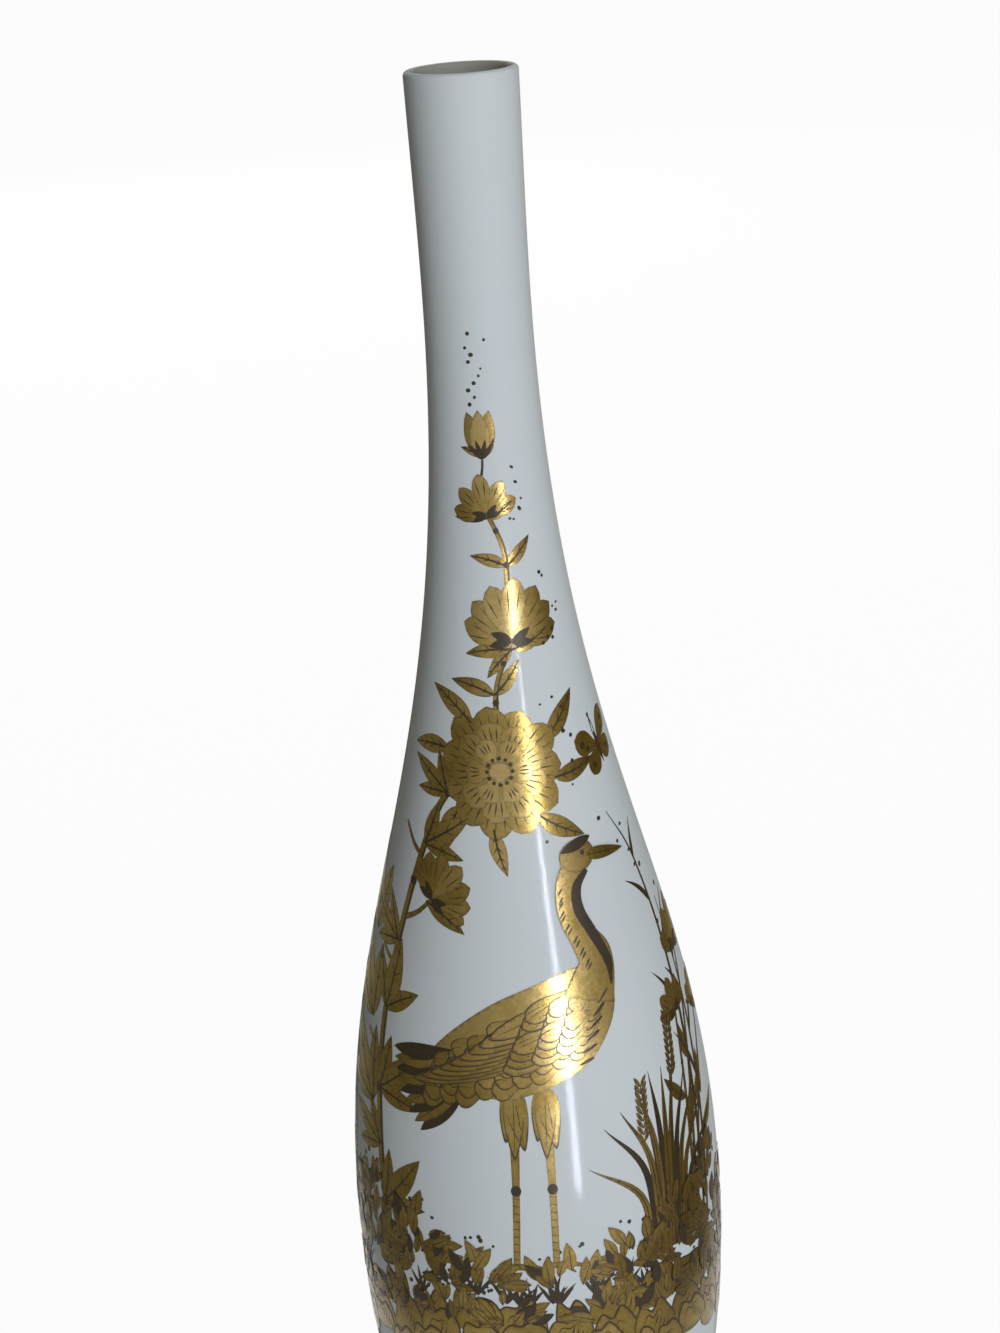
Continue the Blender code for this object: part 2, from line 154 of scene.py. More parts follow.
class StageSettings(bpy.types.PropertyGroup):
    """Camera and light"""

    lens: number("Lens", "Focal length in millimetres", 100.0)
    camera_distance: length("Camera distance", "From the camera to the vase's axis, along the floor", 0.7720)
    camera_rise: length("Camera rise", "Height of the camera above the lip", 0.0872)
    camera_shift: length("Camera side step", "Camera's place to the right of the axis", -0.00053)
    camera_pitch: slant("Pitch", "How far the camera looks down", 15.66)
    camera_roll: slant("Roll", "How far the camera leans to the right", 4.025)
    key_power: number("Key", "Power of the soft light, in watts", 27.5)
    fill_power: number("Fill", "Power of the soft light behind, in watts", 17.0)
    strip_power: number("Strip", "Power of the tall narrow light, in watts", 0.56)
    ambient: share("Ambient", "Strength of the light from all round", 0.26)


class VaseSettings(bpy.types.PropertyGroup):
    """All settings of the vase"""

    wall: bpy.props.PointerProperty(type=WallSettings)
    glaze: bpy.props.PointerProperty(type=GlazeSettings)
    gilding: bpy.props.PointerProperty(type=GildingSettings)
    stage: bpy.props.PointerProperty(type=StageSettings)


def settings():
    return bpy.context.scene.vase_settings


# Outline of the wall, with its steps below the belly, above it and at the mouth

TABLE_STEPS = (120, 300, 60)
OUTSIDE_STEPS = (48, 120, 24)
INSIDE_STEPS = (24, 60, 12)


def outline_stretch(start, start_handle, end_handle, end, steps):
    """Points (radius, height) on one Bezier stretch of the outline."""
    knots = [Vector((*point, 0.0)) for point in (start, start_handle, end_handle, end)]
    return [(point.x, point.y) for point in interpolate_bezier(*knots, steps + 1)]


def outside(under_steps, shoulder_steps, mouth_steps):
    """The outside of the wall from the base up to the lip."""
    w = settings().wall
    narrow_height = w.height - w.neck_length
    under_rise = w.belly_height - w.base_height
    shoulder_rise = narrow_height - w.belly_height
    base_rise = w.base_sweep * under_rise
    third = w.neck_length / 3
    base, belly = (w.base_radius, w.base_height), (w.belly_radius, w.belly_height)
    narrow, mouth = (w.neck_radius, narrow_height), (w.mouth_radius, w.height)
    under = outline_stretch(
        base, (w.base_radius + w.base_flare * base_rise, w.base_height + base_rise),
        (w.belly_radius, w.belly_height - w.under_fullness * under_rise), belly, under_steps)
    shoulder = outline_stretch(
        belly, (w.belly_radius, w.belly_height + w.shoulder_fullness * shoulder_rise),
        (w.neck_radius, narrow_height - w.neck_sweep * shoulder_rise), narrow, shoulder_steps)
    flare = outline_stretch(
        narrow, (w.neck_radius, narrow_height + third),
        ((w.neck_radius + 2 * w.mouth_radius) / 3, w.height - third), mouth, mouth_steps)
    return under + shoulder[1:] + flare[1:]


class WallTable:
    """Radius of the wall's outside at any height."""

    def __init__(self):
        points = outside(*TABLE_STEPS)
        self.radii = [radius for radius, _ in points]
        self.heights = [height for _, height in points]

    def radius(self, height):
        index = min(max(bisect.bisect_left(self.heights, height), 1), len(self.heights) - 1)
        low, high = self.heights[index - 1], self.heights[index]
        part = min(max((height - low) / (high - low), 0.0), 1.0)
        return self.radii[index - 1] + part * (self.radii[index] - self.radii[index - 1])


# Node helpers

def connect(tree, value, socket):
    """Links an input to a socket, or sets it to a plain value."""
    if isinstance(value, bpy.types.NodeSocket):
        tree.links.new(value, socket)
    else:
        socket.default_value = value


def dress(tree, node, **values):
    """Links or sets the inputs of a node by their names."""
    for name, value in values.items():
        connect(tree, value, node.inputs[name.replace("_", " ")])


def add_node(tree, kind, place, **values):
    """Adds a node. A value whose name is a property is set there, and any other on the input of that name."""
    made = tree.nodes.new("ShaderNode" + kind)
    made.location = place
    for name, value in values.items():
        if hasattr(made, name):
            setattr(made, name, value)
        else:
            dress(tree, made, **{name: value})
    return made


def mix_colours(tree, place, factor, first, second):
    """A colour mix. Factor and colours are sockets or plain values."""
    made = add_node(tree, "Mix", place, data_type="RGBA")
    for index, value in ((0, factor), (6, first), (7, second)):
        connect(tree, value, made.inputs[index])
    return made.outputs[2]


def maths(tree, place, operation, *values, clamp=False):
    """A Math node whose values are sockets or plain numbers."""
    made = add_node(tree, "Math", place, operation=operation, use_clamp=clamp)
    for socket, value in zip(made.inputs, values):
        connect(tree, value, socket)
    return made.outputs[0]


def mapped(tree, place, value, low, high, **ends):
    """A value mapped from a range."""
    return add_node(tree, "MapRange", place, Value=value, From_Min=low, From_Max=high, **ends).outputs[0]


def object_place(tree, place):
    """Object coordinates, split into X, Y and Z."""
    where = add_node(tree, "TexCoord", place).outputs["Object"]
    return add_node(tree, "SeparateXYZ", (place[0] + 200, place[1]), Vector=where).outputs


def attribute(tree, place, name):
    """The value of one of the piece's attributes."""
    return add_node(tree, "Attribute", place, attribute_name=name).outputs["Fac"]


def opaque(colour):
    return (*colour, 1.0)


def new_material(name):
    """An empty Principled material: the material, its tree and its shader."""
    made = bpy.data.materials.new(name)
    made.use_nodes = True
    return made, made.node_tree, made.node_tree.nodes["Principled BSDF"]


def new_group(name, inputs, outputs):
    """A shader node group with float inputs and outputs, and its input and output nodes."""
    tree = bpy.data.node_groups.new(name, "ShaderNodeTree")
    for label, default in inputs:
        socket = tree.interface.new_socket(label, in_out="INPUT", socket_type="NodeSocketFloat")
        socket.default_value = default
    for label in outputs:
        tree.interface.new_socket(label, in_out="OUTPUT", socket_type="NodeSocketFloat")
    return tree, tree.nodes.new("NodeGroupInput").outputs, tree.nodes.new("NodeGroupOutput")


def mottle_group():
    """Soft patches, fine grain and rare specks, read from Object coordinates."""
    name = "Fired Mottle"
    if name in bpy.data.node_groups:
        return bpy.data.node_groups[name]
    scales = (("Patch Scale", 30.0), ("Grain Scale", 600.0), ("Speck Scale", 140.0))
    tree, given, end = new_group(name, scales, ("Patch", "Grain", "Speck"))
    where = add_node(tree, "TexCoord", (-600, 0)).outputs["Object"]
    patch = add_node(tree, "TexNoise", (-300, 200), Detail=3.0, Roughness=0.55)
    grain = add_node(tree, "TexNoise", (-300, 0), Detail=2.0, Roughness=0.6)
    speck = add_node(tree, "TexVoronoi", (-300, -220), Randomness=1.0)
    for texture, (scale, _) in zip((patch, grain, speck), scales):
        dress(tree, texture, Vector=where, Scale=given[scale])
    spot = maths(tree, (-80, -220), "LESS_THAN", speck.outputs["Distance"], 0.055)
    dress(tree, end, Patch=patch.outputs["Fac"], Grain=grain.outputs["Fac"], Speck=spot)
    return tree


def film_group():
    """Worn film: its tone and dark rim from the piece's attributes, broken by noise."""
    name = "Worn Film"
    if name in bpy.data.node_groups:
        return bpy.data.node_groups[name]
    tree, given, end = new_group(name, (("Rim", 1.0), ("Patch Scale", 85.0), ("Grain Scale", 900.0)),
                                 ("Tone", "Rim", "Grain"))
    mottle = add_node(tree, "Group", (-500, 0), node_tree=mottle_group(), Patch_Scale=given["Patch Scale"],
                      Grain_Scale=given["Grain Scale"]).outputs
    tone = maths(tree, (-260, 260), "MULTIPLY_ADD", mottle["Patch"], 0.75, -0.2)
    tone = maths(tree, (-80, 260), "MULTIPLY_ADD", attribute(tree, (-500, 260), "tone"), 0.6, tone)
    tone = maths(tree, (100, 260), "MULTIPLY_ADD", mottle["Grain"], 0.25, tone, clamp=True)
    sharp = maths(tree, (-260, -320), "POWER", attribute(tree, (-500, -320), "rim"), 1.7)
    broken = maths(tree, (-260, -160), "MULTIPLY_ADD", mottle["Grain"], 1.1, 0.35)
    rim = maths(tree, (-80, -240), "MULTIPLY", sharp, broken)
    rim = maths(tree, (100, -240), "MULTIPLY", rim, given["Rim"], clamp=True)
    dress(tree, end, Tone=tone, Rim=rim, Grain=mottle["Grain"])
    return tree


def glaze_material():
    """Glossy cool white porcelain, faintly clouded and specked, whose reflection fades out at the edge."""
    colours = settings().glaze
    made, tree, shader = new_material("glazed_porcelain")
    mottle = add_node(tree, "Group", (-900, 100), node_tree=mottle_group(), Patch_Scale=26.0,
                      Grain_Scale=240.0, Speck_Scale=75.0).outputs
    colour = mix_colours(tree, (-600, 200), mottle["Patch"], opaque(colours.white), opaque(colours.pale))
    faint = maths(tree, (-600, 0), "MULTIPLY", mottle["Speck"], 0.22)
    colour = mix_colours(tree, (-380, 200), faint, colour, opaque(colours.speck))
    # Painted shade: the inner wall takes the darker inside colour
    painted_inside_shade = attribute(tree, (-600, -200), "inside")
    colour = mix_colours(tree, (-180, 200), painted_inside_shade, colour, opaque(colours.inside))
    rough = maths(tree, (-380, -60), "MULTIPLY_ADD", mottle["Patch"], 0.03, 0.105)
    bump = add_node(tree, "Bump", (-380, -240), Strength=0.05, Distance=0.0004, Height=mottle["Grain"])
    facing = add_node(tree, "LayerWeight", (-600, -420), Blend=0.5).outputs["Facing"]
    gloss = mapped(tree, (-380, -460), facing, 0.55, 0.85, To_Min=0.08, To_Max=0.0)
    dress(tree, shader, Base_Color=colour, Roughness=rough, Normal=bump.outputs["Normal"],
          Specular_IOR_Level=gloss, IOR=1.5)
    return made


def foot_material():
    """Bare biscuit where the ring stands, running up into the glaze with a wavy edge."""
    colours = settings().glaze
    made, tree, shader = new_material("foot_clay")
    mottle = add_node(tree, "Group", (-1100, 100), node_tree=mottle_group(), Patch_Scale=180.0,
                      Grain_Scale=2200.0, Speck_Scale=420.0).outputs
    height = object_place(tree, (-1100, -200))["Z"]
    waved = maths(tree, (-700, -200), "MULTIPLY_ADD", mottle["Patch"], 0.0012, height)
    glazed = mapped(tree, (-520, -200), waved, 0.0022, 0.0026)
    dirty = maths(tree, (-700, 60), "MULTIPLY", mottle["Speck"], 0.6)
    bare = mix_colours(tree, (-520, 160), dirty, opaque(colours.biscuit), opaque(colours.soil))
    soiled = maths(tree, (-520, 0), "MULTIPLY", mottle["Patch"], 0.35)
    bare = mix_colours(tree, (-340, 160), soiled, bare, opaque(colours.soil))
    colour = mix_colours(tree, (-160, 160), glazed, bare, opaque(colours.white))
    rough = maths(tree, (-160, -60), "MULTIPLY_ADD", glazed, -0.68, 0.80)
    bump = add_node(tree, "Bump", (-160, -260), Strength=0.25, Distance=0.0002, Height=mottle["Grain"])
    dress(tree, shader, Base_Color=colour, Roughness=rough, Normal=bump.outputs["Normal"])
    return made


def gold_material():
    """Fired gold: brown where thin, brighter where burnished, dark along every outline."""
    found = bpy.data.materials.get("fired_gold")
    if found:
        return found
    colours = settings().gilding
    made, tree, shader = new_material("fired_gold")
    worn = add_node(tree, "Group", (-1000, 100), node_tree=film_group(), Rim=0.85).outputs
    ramp = add_node(tree, "ValToRGB", (-740, 240), Fac=worn["Tone"])
    low, high = ramp.color_ramp.elements
    low.color, low.position = opaque(colours.deep), 0.05
    high.color, high.position = opaque(colours.light), 0.95
    ramp.color_ramp.elements.new(0.5).color = opaque(colours.gold)
    colour = mix_colours(tree, (-420, 240), worn["Rim"], ramp.outputs["Color"], opaque(colours.umber))
    metal = maths(tree, (-420, 40), "MULTIPLY_ADD", worn["Rim"], -0.45, 1.0)
    rough = maths(tree, (-600, -100), "MULTIPLY_ADD", worn["Grain"], 0.14, 0.20)
    rough = maths(tree, (-420, -100), "MULTIPLY_ADD", worn["Rim"], 0.16, rough)
    bump = add_node(tree, "Bump", (-420, -300), Strength=0.05, Distance=0.00006, Height=worn["Grain"])
    dress(tree, shader, Base_Color=colour, Metallic=metal, Roughness=rough, Normal=bump.outputs["Normal"])
    return made


def sepia_material():
    """Dark line work with a trace of metal."""
    found = bpy.data.materials.get("sepia_line")
    if found:
        return found
    colours = settings().gilding
    made, tree, shader = new_material("sepia_line")
    worn = add_node(tree, "Group", (-800, 100), node_tree=film_group(), Rim=0.5).outputs
    colour = mix_colours(tree, (-420, 240), worn["Tone"], opaque(colours.sepia), opaque(colours.umber))
    rough = maths(tree, (-420, 0), "MULTIPLY_ADD", worn["Grain"], 0.2, 0.28)
    dress(tree, shader, Base_Color=colour, Roughness=rough, Metallic=0.2, Specular_IOR_Level=0.3)
    return made


# Turned pieces

WELD = 1e-7
SHARP_ANGLE = math.radians(40)
WALL_STEPS, RING_STEPS = 192, 160
# Share of the base's radius and rise of the points on the wall's underside
UNDERSIDE = ((0.0, 0.0012), (0.6, 0.0009), (0.82, 0.0))
# The wall counts as inside, where the glaze takes its painted shade, from this share of its thickness, and
# from this rise over its base
INSIDE_DEPTH, INSIDE_RISE = 0.7, 0.004
RING_WIDTH, RING_EDGE, RING_OVERLAP, RING_DRAFT, RING_TAPER = 0.0038, 0.0009, 0.0004, 0.0002, 0.0003


def into_scene(name, data):
    """A new object of the scene."""
    made = bpy.data.objects.new(name, data)
    bpy.context.scene.collection.objects.link(made)
    return made


def mesh_object(name, bm, *materials):
    """Turns a bmesh into an object of the scene."""
    mesh = bpy.data.meshes.new(name)
    bm.to_mesh(mesh)
    bm.free()
    for material in materials:
        mesh.materials.append(material)
    return into_scene(name, mesh)


def finished(name, bm, *materials):
    """Turns a bmesh into a smooth-shaded piece that rides on the vase."""
    for face in bm.faces:
        face.smooth = True
    made = mesh_object(name, bm, *materials)
    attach(made, BODY)
    return made


def turned(name, section, steps, material, closed):
    """Spins a chain of (radius, height) points round the axis, from the bottom of its outside on."""
    bm = bmesh.new()
    chain = [bm.verts.new((radius, 0.0, height)) for radius, height in section]
    ends = chain[1:] + (chain[:1] if closed else [])
    edges = [bm.edges.new(pair) for pair in zip(chain, ends)]
    bmesh.ops.spin(bm, geom=chain + edges, cent=(0, 0, 0), axis=(0, 0, 1), angle=2 * math.pi, steps=steps,
                   use_merge=True, use_duplicate=False)
    bmesh.ops.remove_doubles(bm, verts=bm.verts, dist=WELD)
    bmesh.ops.recalc_face_normals(bm, faces=bm.faces)
    made = finished(name, bm, material)
    made.data.set_sharp_from_angle(angle=SHARP_ANGLE)
    return made


def rounded(centre, radius, start, end, steps):
    """Points of an arc, as (radius, height), from one angle in degrees to another."""
    angles = [math.radians(start + (end - start) * step / steps) for step in range(steps + 1)]
    return [(centre[0] + radius * math.cos(a), centre[1] + radius * math.sin(a)) for a in angles]


def wall_section():
    """The glazed shell: underside, outside, lip, inside and floor."""
    w = settings().wall
    lip_radius = w.thickness / 2
    lip_level = w.height - lip_radius
    underside = [(part * w.base_radius, w.base_height + rise) for part, rise in UNDERSIDE]
    outer = [point for point in outside(*OUTSIDE_STEPS) if point[1] < lip_level]
    lip = rounded((w.mouth_radius - lip_radius, lip_level), lip_radius, 0, 180, 12)
    floor = w.base_height + w.floor
    fillet = 3 * w.thickness
    inner = [(r - w.thickness, z) for r, z in outside(*INSIDE_STEPS) if floor + fillet < z < lip_level]
    corner = rounded((inner[0][0] - fillet, floor + fillet), fillet, 0, -90, 6)
    return underside + outer + lip + inner[::-1] + corner + [(0.0, floor)]


class VaseStep:
    """What the operators share: each builds one group of pieces, or the stage."""

    def execute(self, context):
        self.build()
        return {"FINISHED"}


class VASE_OT_glazed_wall(VaseStep, bpy.types.Operator):
    """Turn the glazed wall over the clay sections"""

    bl_idname = "vase.glazed_wall"
    bl_label = "Glazed wall"

    def build(self):
        w, table = settings().wall, WallTable()
        wall = turned("glazed_wall", wall_section(), WALL_STEPS, glaze_material(), closed=False)
        # Marks the inner wall, which the glaze material darkens as painted shade
        inside = wall.data.attributes.new("inside", "FLOAT", "POINT")
        for index, vert in enumerate(wall.data.vertices):
            depth = table.radius(vert.co.z) - vert.co.xy.length
            behind = depth > INSIDE_DEPTH * w.thickness and vert.co.z > w.base_height + INSIDE_RISE
            inside.data[index].value = 1.0 if behind else 0.0
        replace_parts(wall, "lower_body", "upper_body", "neck", "belly_lute", "neck_lute")


class VASE_OT_foot_ring(VaseStep, bpy.types.Operator):
    """Turn the foot ring with its bare, rounded standing edge"""

    bl_idname = "vase.foot_ring"
    bl_label = "Foot ring"

    def build(self):
        low, high = node_low("foot_ring"), node_high("foot_ring")
        outer, inner = high.x, high.x - RING_WIDTH
        top, edge = high.z + RING_OVERLAP, low.z + RING_EDGE
        section = [(outer, top), (outer - RING_DRAFT, low.z + 0.5 * high.z)]
        section += rounded((outer - RING_TAPER - RING_EDGE, edge), RING_EDGE, 0, -90, 5)
        section += rounded((inner + RING_EDGE, edge), RING_EDGE, -90, -180, 5)
        section += [(inner - RING_DRAFT, top)]
        ring = turned("foot_ring_clay", section, RING_STEPS, foot_material(), closed=True)
        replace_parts(ring, "foot_ring")


# Drawing on the sheet, in millimetres

# Narrowest width of a stroke
FINEST = 0.04
# Chance change of the gold's tone to either side, and the tones of lines and of brown passages
GOLD_CHANGE, LINE_TONES, SHADE_TONE = 0.12, (0.0, 0.8), 0.1
# Step in height between marks of one level, and how many of them take turns
STAGGER, STAGGER_RUN = 0.013, 23
# How far a cut strip may sag between its edges, as a share of a layer, and the strips' rise to their girth
SAG_SHARE, CELL_RISE = 0.35, 1.6


def up(rise):
    """A step upwards on the sheet."""
    return Vector((0.0, rise))


def direction(degrees):
    """The step of one millimetre at an angle on the sheet."""
    turn = math.radians(degrees)
    return Vector((math.cos(turn), math.sin(turn)))


def point_at(path, part):
    """The point at a share of a path."""
    return path[int(part * (len(path) - 1))]


def through(knots, steps):
    """A Catmull-Rom curve from the second knot to the last but one, which is left out."""
    path = []
    for a, b, c, d in zip(knots, knots[1:], knots[2:], knots[3:]):
        handles = (b, b + (c - a) / 6, c - (d - b) / 6, c)
        stretch = interpolate_bezier(*[handle.to_3d() for handle in handles], steps + 1)
        path += [point.to_2d() for point in stretch[:-1]]
    return path


def smooth_path(points, steps=6):
    """A smooth line through the points."""
    knots = [Vector(point) for point in points]
    knots = [2 * knots[0] - knots[1]] + knots + [2 * knots[-1] - knots[-2]]
    return through(knots, steps) + [knots[-2]]


def closed_curve(points, steps=5):
    """A smooth closed outline through the points."""
    knots = [Vector(point) for point in points]
    return through(knots[-1:] + knots + knots[:2], steps)


def width_at(widths, part):
    """Width at a share of a stroke, between evenly spaced widths."""
    place = part * (len(widths) - 1)
    index = min(int(place), len(widths) - 2)
    return widths[index] + (place - index) * (widths[index + 1] - widths[index])


def stroke(points, *widths, steps=6):
    """Outline of a brush stroke along a path, with widths spread evenly from its start to its end."""
    path = smooth_path(points, steps)
    left, right = [], []
    for index, point in enumerate(path):
        ahead = path[min(index + 1, len(path) - 1)] - path[max(index - 1, 0)]
        across = Vector((-ahead.y, ahead.x)).normalized()
        half = max(width_at(widths, index / (len(path) - 1)), FINEST) / 2
        left.append(point + across * half)
        right.append(point - across * half)
    return right + left[::-1]


def dash(start, tip, *widths, sag=(0.0, 0.0), steps=2):
    """Outline of a short stroke from a start to a tip, its middle moved by the sag."""
    return stroke([start, (start + tip) / 2 + Vector(sag), tip], *widths, steps=steps)


def midline(base, degrees, size, bend, *shares):
    """Points on the middle line of a blade, at shares of its length."""
    along, across = direction(degrees), direction(degrees + 90)
    return [Vector(base) + along * size * t + across * bend * size * t * t for t in shares]


def blade(base, degrees, size, width, peak, power, bend=0.0, steps=9):
    """Outline of a leaf, petal or feather: widest at the peak, blunter the lower the power, bent sideways."""
    across = direction(degrees + 90)
    skew = math.log(0.5) / math.log(peak)
    shares = [step / steps for step in range(steps + 1)]
    middle = midline(base, degrees, size, bend, *shares)
    left, right = [], []
    for point, t in zip(middle[1:-1], shares[1:-1]):
        half = width / 2 * math.sin(math.pi * t ** skew) ** power
        left.append(point + across * half)
        right.append(point - across * half)
    return middle[:1] + right + middle[-1:] + left[::-1]


def dot(centre, radius, stretch=1.0, steps=10):
    """Outline of a dot, stretched sideways."""
    turns = [2 * math.pi * step / steps for step in range(steps)]
    x, y = centre
    return [Vector((x + stretch * radius * math.cos(a), y + radius * math.sin(a))) for a in turns]


class Drawing:
    """The marks of one motif: gold fills and sepia lines, each at its own level over the glaze."""

    def __init__(self, seed):
        self.marks = []
        self.chance = random.Random(seed)

    def gold(self, outline, level, tone=0.5):
        tone += self.chance.uniform(-GOLD_CHANGE, GOLD_CHANGE)
        self.marks.append((outline, level, tone, 0))

    def line(self, outline, level):
        self.marks.append((outline, level, self.chance.uniform(*LINE_TONES), 1))

    def shade(self, outline, level):
        """A brown passage, all of one dark tone."""
        self.marks.append((outline, level, SHADE_TONE, 1))


def facing_out(points):
    """The outline in the order that makes its face look outwards."""
    area = sum(a.x * b.y - b.x * a.y for a, b in zip(points, points[1:] + points[:1]))
    return points if area > 0 else points[::-1]


def cut_sheet(bm, places, cell, normal):
    """Cuts flat marks into strips no wider than a cell, so that they can bend round the wall."""
    low, high = min(places), max(places)
    strips = max(1, math.ceil((high - low) / cell))
    for strip in range(1, strips):
        bmesh.ops.bisect_plane(bm, geom=bm.verts[:] + bm.edges[:] + bm.faces[:], dist=1e-6,
                               plane_co=normal * (low + strip * (high - low) / strips), plane_no=normal)


def lay(name, drawing, side=FRONT):
    """Wraps a drawing round the wall as one piece of gilding. Side is the azimuth of its zero girth."""
    table = WallTable()
    film = settings().gilding
    bm = bmesh.new()
    tones = bm.verts.layers.float.new("tone")
    rims = bm.verts.layers.float.new("rim")
    for index, (outline, level, tone, finish) in enumerate(drawing.marks):
        depth = -(film.lift + (level + STAGGER * (index % STAGGER_RUN)) * film.layer)
        verts = [bm.verts.new((point.x * MM, depth, point.y * MM)) for point in facing_out(outline)]
        for vert in verts:
            vert[tones] = tone
        bm.faces.new(verts).material_index = finish
    girths = [vert.co.x for vert in bm.verts]
    heights = [vert.co.z for vert in bm.verts]
    radius = min(table.radius(min(heights)), table.radius(max(heights)))
    cell = math.sqrt(8 * radius * film.layer * SAG_SHARE)
    cut_sheet(bm, girths, cell, Vector((1, 0, 0)))
    cut_sheet(bm, heights, CELL_RISE * cell, Vector((0, 0, 1)))
    bmesh.ops.triangulate(bm, faces=bm.faces)
    for edge in bm.edges:
        edge.smooth = not edge.is_boundary
    for vert in bm.verts:
        vert[rims] = 1.0 if vert.is_boundary else 0.0
        wall = table.radius(vert.co.z)
        azimuth = side + vert.co.x / wall
        lifted = wall - vert.co.y
        vert.co = (lifted * math.sin(azimuth), -lifted * math.cos(azimuth), vert.co.z)
    made = finished(name, bm, gold_material(), sepia_material())
    shell = made.modifiers.new("film", "SOLIDIFY")
    shell.thickness = film.film
    shell.offset = -1.0
    return made


def gild(art, node, side=FRONT, name=None):
    """Lays a drawing in the place of a gilt node, under the node's name if no other is given."""
    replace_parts(lay(name or node.replace("gilt_", "") + "_gilding", art, side), node)


def sheet_place(node, side=FRONT):
    """Middle of a small node on the sheet, and half its height, in millimetres."""
    low, high = node_low(node), node_high(node)
    middle = (low + high) / 2
    azimuth = math.atan2(middle.x, -middle.y) - side
    azimuth = (azimuth + math.pi) % (2 * math.pi) - math.pi
    girth = azimuth * WallTable().radius(middle.z)
    return Vector((girth / MM, middle.z / MM)), (high.z - low.z) / 2 / MM


# Motifs, with their levels counted in layers of film

# Lowest level of flowers and butterflies
MOTIF_LEVEL = 2.0
# Petals, reach, width and tone of each row of an open flower, from the outside in
PEONY_ROWS = ((11, 1.0, 0.60, 0.36), (9, 0.74, 0.50, 0.52), (6, 0.46, 0.40, 0.66))
# Half the opening of a flower seen from the side, in degrees
FAN_HALF = 78
REED_BLADES, REED_SPREAD = 11, 13.0


def draw_leaf(art, base, degrees, size, width, bend, level, tone, veins=4):
    """A pointed leaf with its midrib and side veins."""
    art.gold(blade(base, degrees, size, width, 0.42, 0.9, bend, 12), level, tone)
    rib = midline(base, degrees, size, bend, 0.0, 0.35, 0.7, 0.95)
    art.line(stroke(rib, 0.5, 0.4, 0.15), level + 2)
    for step in range(veins):
        t = 0.18 + 0.6 * step / (veins - 1)
        start, = midline(base, degrees, size, bend, t)
        reach = 0.483 * width * math.sin(math.pi * t ** 0.8)
        for way in (-1, 1):
            tip = start + reach * direction(degrees + way * 38)
            art.line(dash(start, tip, 0.26, 0.22, 0.08), level + 2)


def draw_peony_leaf(art, base, degrees, size, level, tone):
    """A leaf of three lobes."""
    for turn, part, bend, rise in ((-34, 0.74, -0.08, 0.0), (34, 0.74, 0.08, 0.0), (0, 1.0, 0.08, 0.8)):
        long = size * part
        draw_leaf(art, base, degrees + turn, long, 0.34 * long, bend, level + rise, tone, veins=3)


def draw_full_peony(art, centre, radius, tilt=0.0):
    """A flower seen from the front: three rows of notched petals round a dotted heart."""
    for row, (count, reach, wide, tone) in enumerate(PEONY_ROWS):
        for petal in range(count):
            degrees = tilt + 360 * (petal + 0.5 * (row % 2)) / count
            level = MOTIF_LEVEL + row * 3.0 + 1.4 * (petal % 2)
            size = radius * reach * art.chance.uniform(0.94, 1.04)
            base = centre + 0.1 * radius * direction(degrees)
            art.gold(blade(base, degrees, size, radius * wide, 0.66, 0.62, 0.0, 12), level, tone)
            for turn in (-11, 0, 11):
                ends = midline(base, degrees + turn, size, 0.0, 0.50, 0.86)
                art.line(dash(*ends, 0.10, 0.026 * radius, 0.06), level + 0.7)
    art.gold(dot(centre, 0.17 * radius, steps=14), MOTIF_LEVEL + 10.5, 0.9)
    for seed in range(12):
        place = centre + 0.21 * radius * direction(30 * seed)
        art.line(dot(place, 0.035 * radius, steps=7), MOTIF_LEVEL + 12)


def draw_side_peony(art, base, degrees, radius, level=MOTIF_LEVEL, petals=7):
    """A flower seen from the side: petals that open like a fan above dark sepals."""
    order = sorted(range(petals), key=lambda step: -abs(step - (petals - 1) / 2))
    for rank, step in enumerate(order):
        lean = step / (petals - 1) * 2 - 1
        turn = degrees + FAN_HALF * lean
        size = radius * (1.75 - 0.35 * abs(lean))
        height = level + rank * 1.3
        petal = blade(base, turn, size, radius * 0.72, 0.64, 0.66, -0.12 * lean, 12)
        art.gold(petal, height, 0.35 + 0.4 * rank / petals)
        for shift in (-7, 7):
            ends = midline(base, turn + shift, size, 0.0, 0.45, 0.85)
            art.line(dash(*ends, 0.08, 0.28, 0.06), height + 0.7)
    for turn in (-95, -60, 60, 95):
        art.shade(blade(base, degrees + turn, radius * 0.62, radius * 0.26, 0.45, 0.9, 0.15), level + 11)


def draw_bud(art, base, degrees, size, width):
    """A closed bud with its sepals."""
    for turn, tone, rise in ((-13, 0.35, 0.0), (13, 0.45, 0.0), (0, 0.7, 1.5)):
        art.gold(blade(base, degrees + turn, size, width * 0.78, 0.45, 0.8), MOTIF_LEVEL + rise, tone)
    for turn in (-38, -14, 14, 38):
        art.shade(blade(base, degrees + turn, size * 0.42, width * 0.2, 0.4, 0.9), MOTIF_LEVEL + 4)


def draw_stem(art, points, start_width, end_width):
    """A woody stem with a shadow line along one side and knots."""
    art.gold(stroke(points, start_width, (start_width + end_width) / 2, end_width, steps=10), 0.0, 0.3)
    path = smooth_path(points, 10)
    shifted = [point + Vector((0.22 * start_width, 0.0)) for point in path[::4]]
    art.line(stroke(shifted, 0.3 * start_width, 0.25 * start_width, 0.08, steps=2), 1.5)
    for index in range(6, len(path) - 4, 9):
        width = width_at((start_width, end_width), index / len(path))
        art.shade(dot(path[index], 0.62 * width, steps=8), 1.0)


def draw_dots(art, places, radius, level=3.0):
    """Loose dots of uneven size."""
    for place in places:
        size = radius * art.chance.uniform(0.6, 1.25)
        art.line(dot(place, size, art.chance.uniform(0.85, 1.2), 8), level)


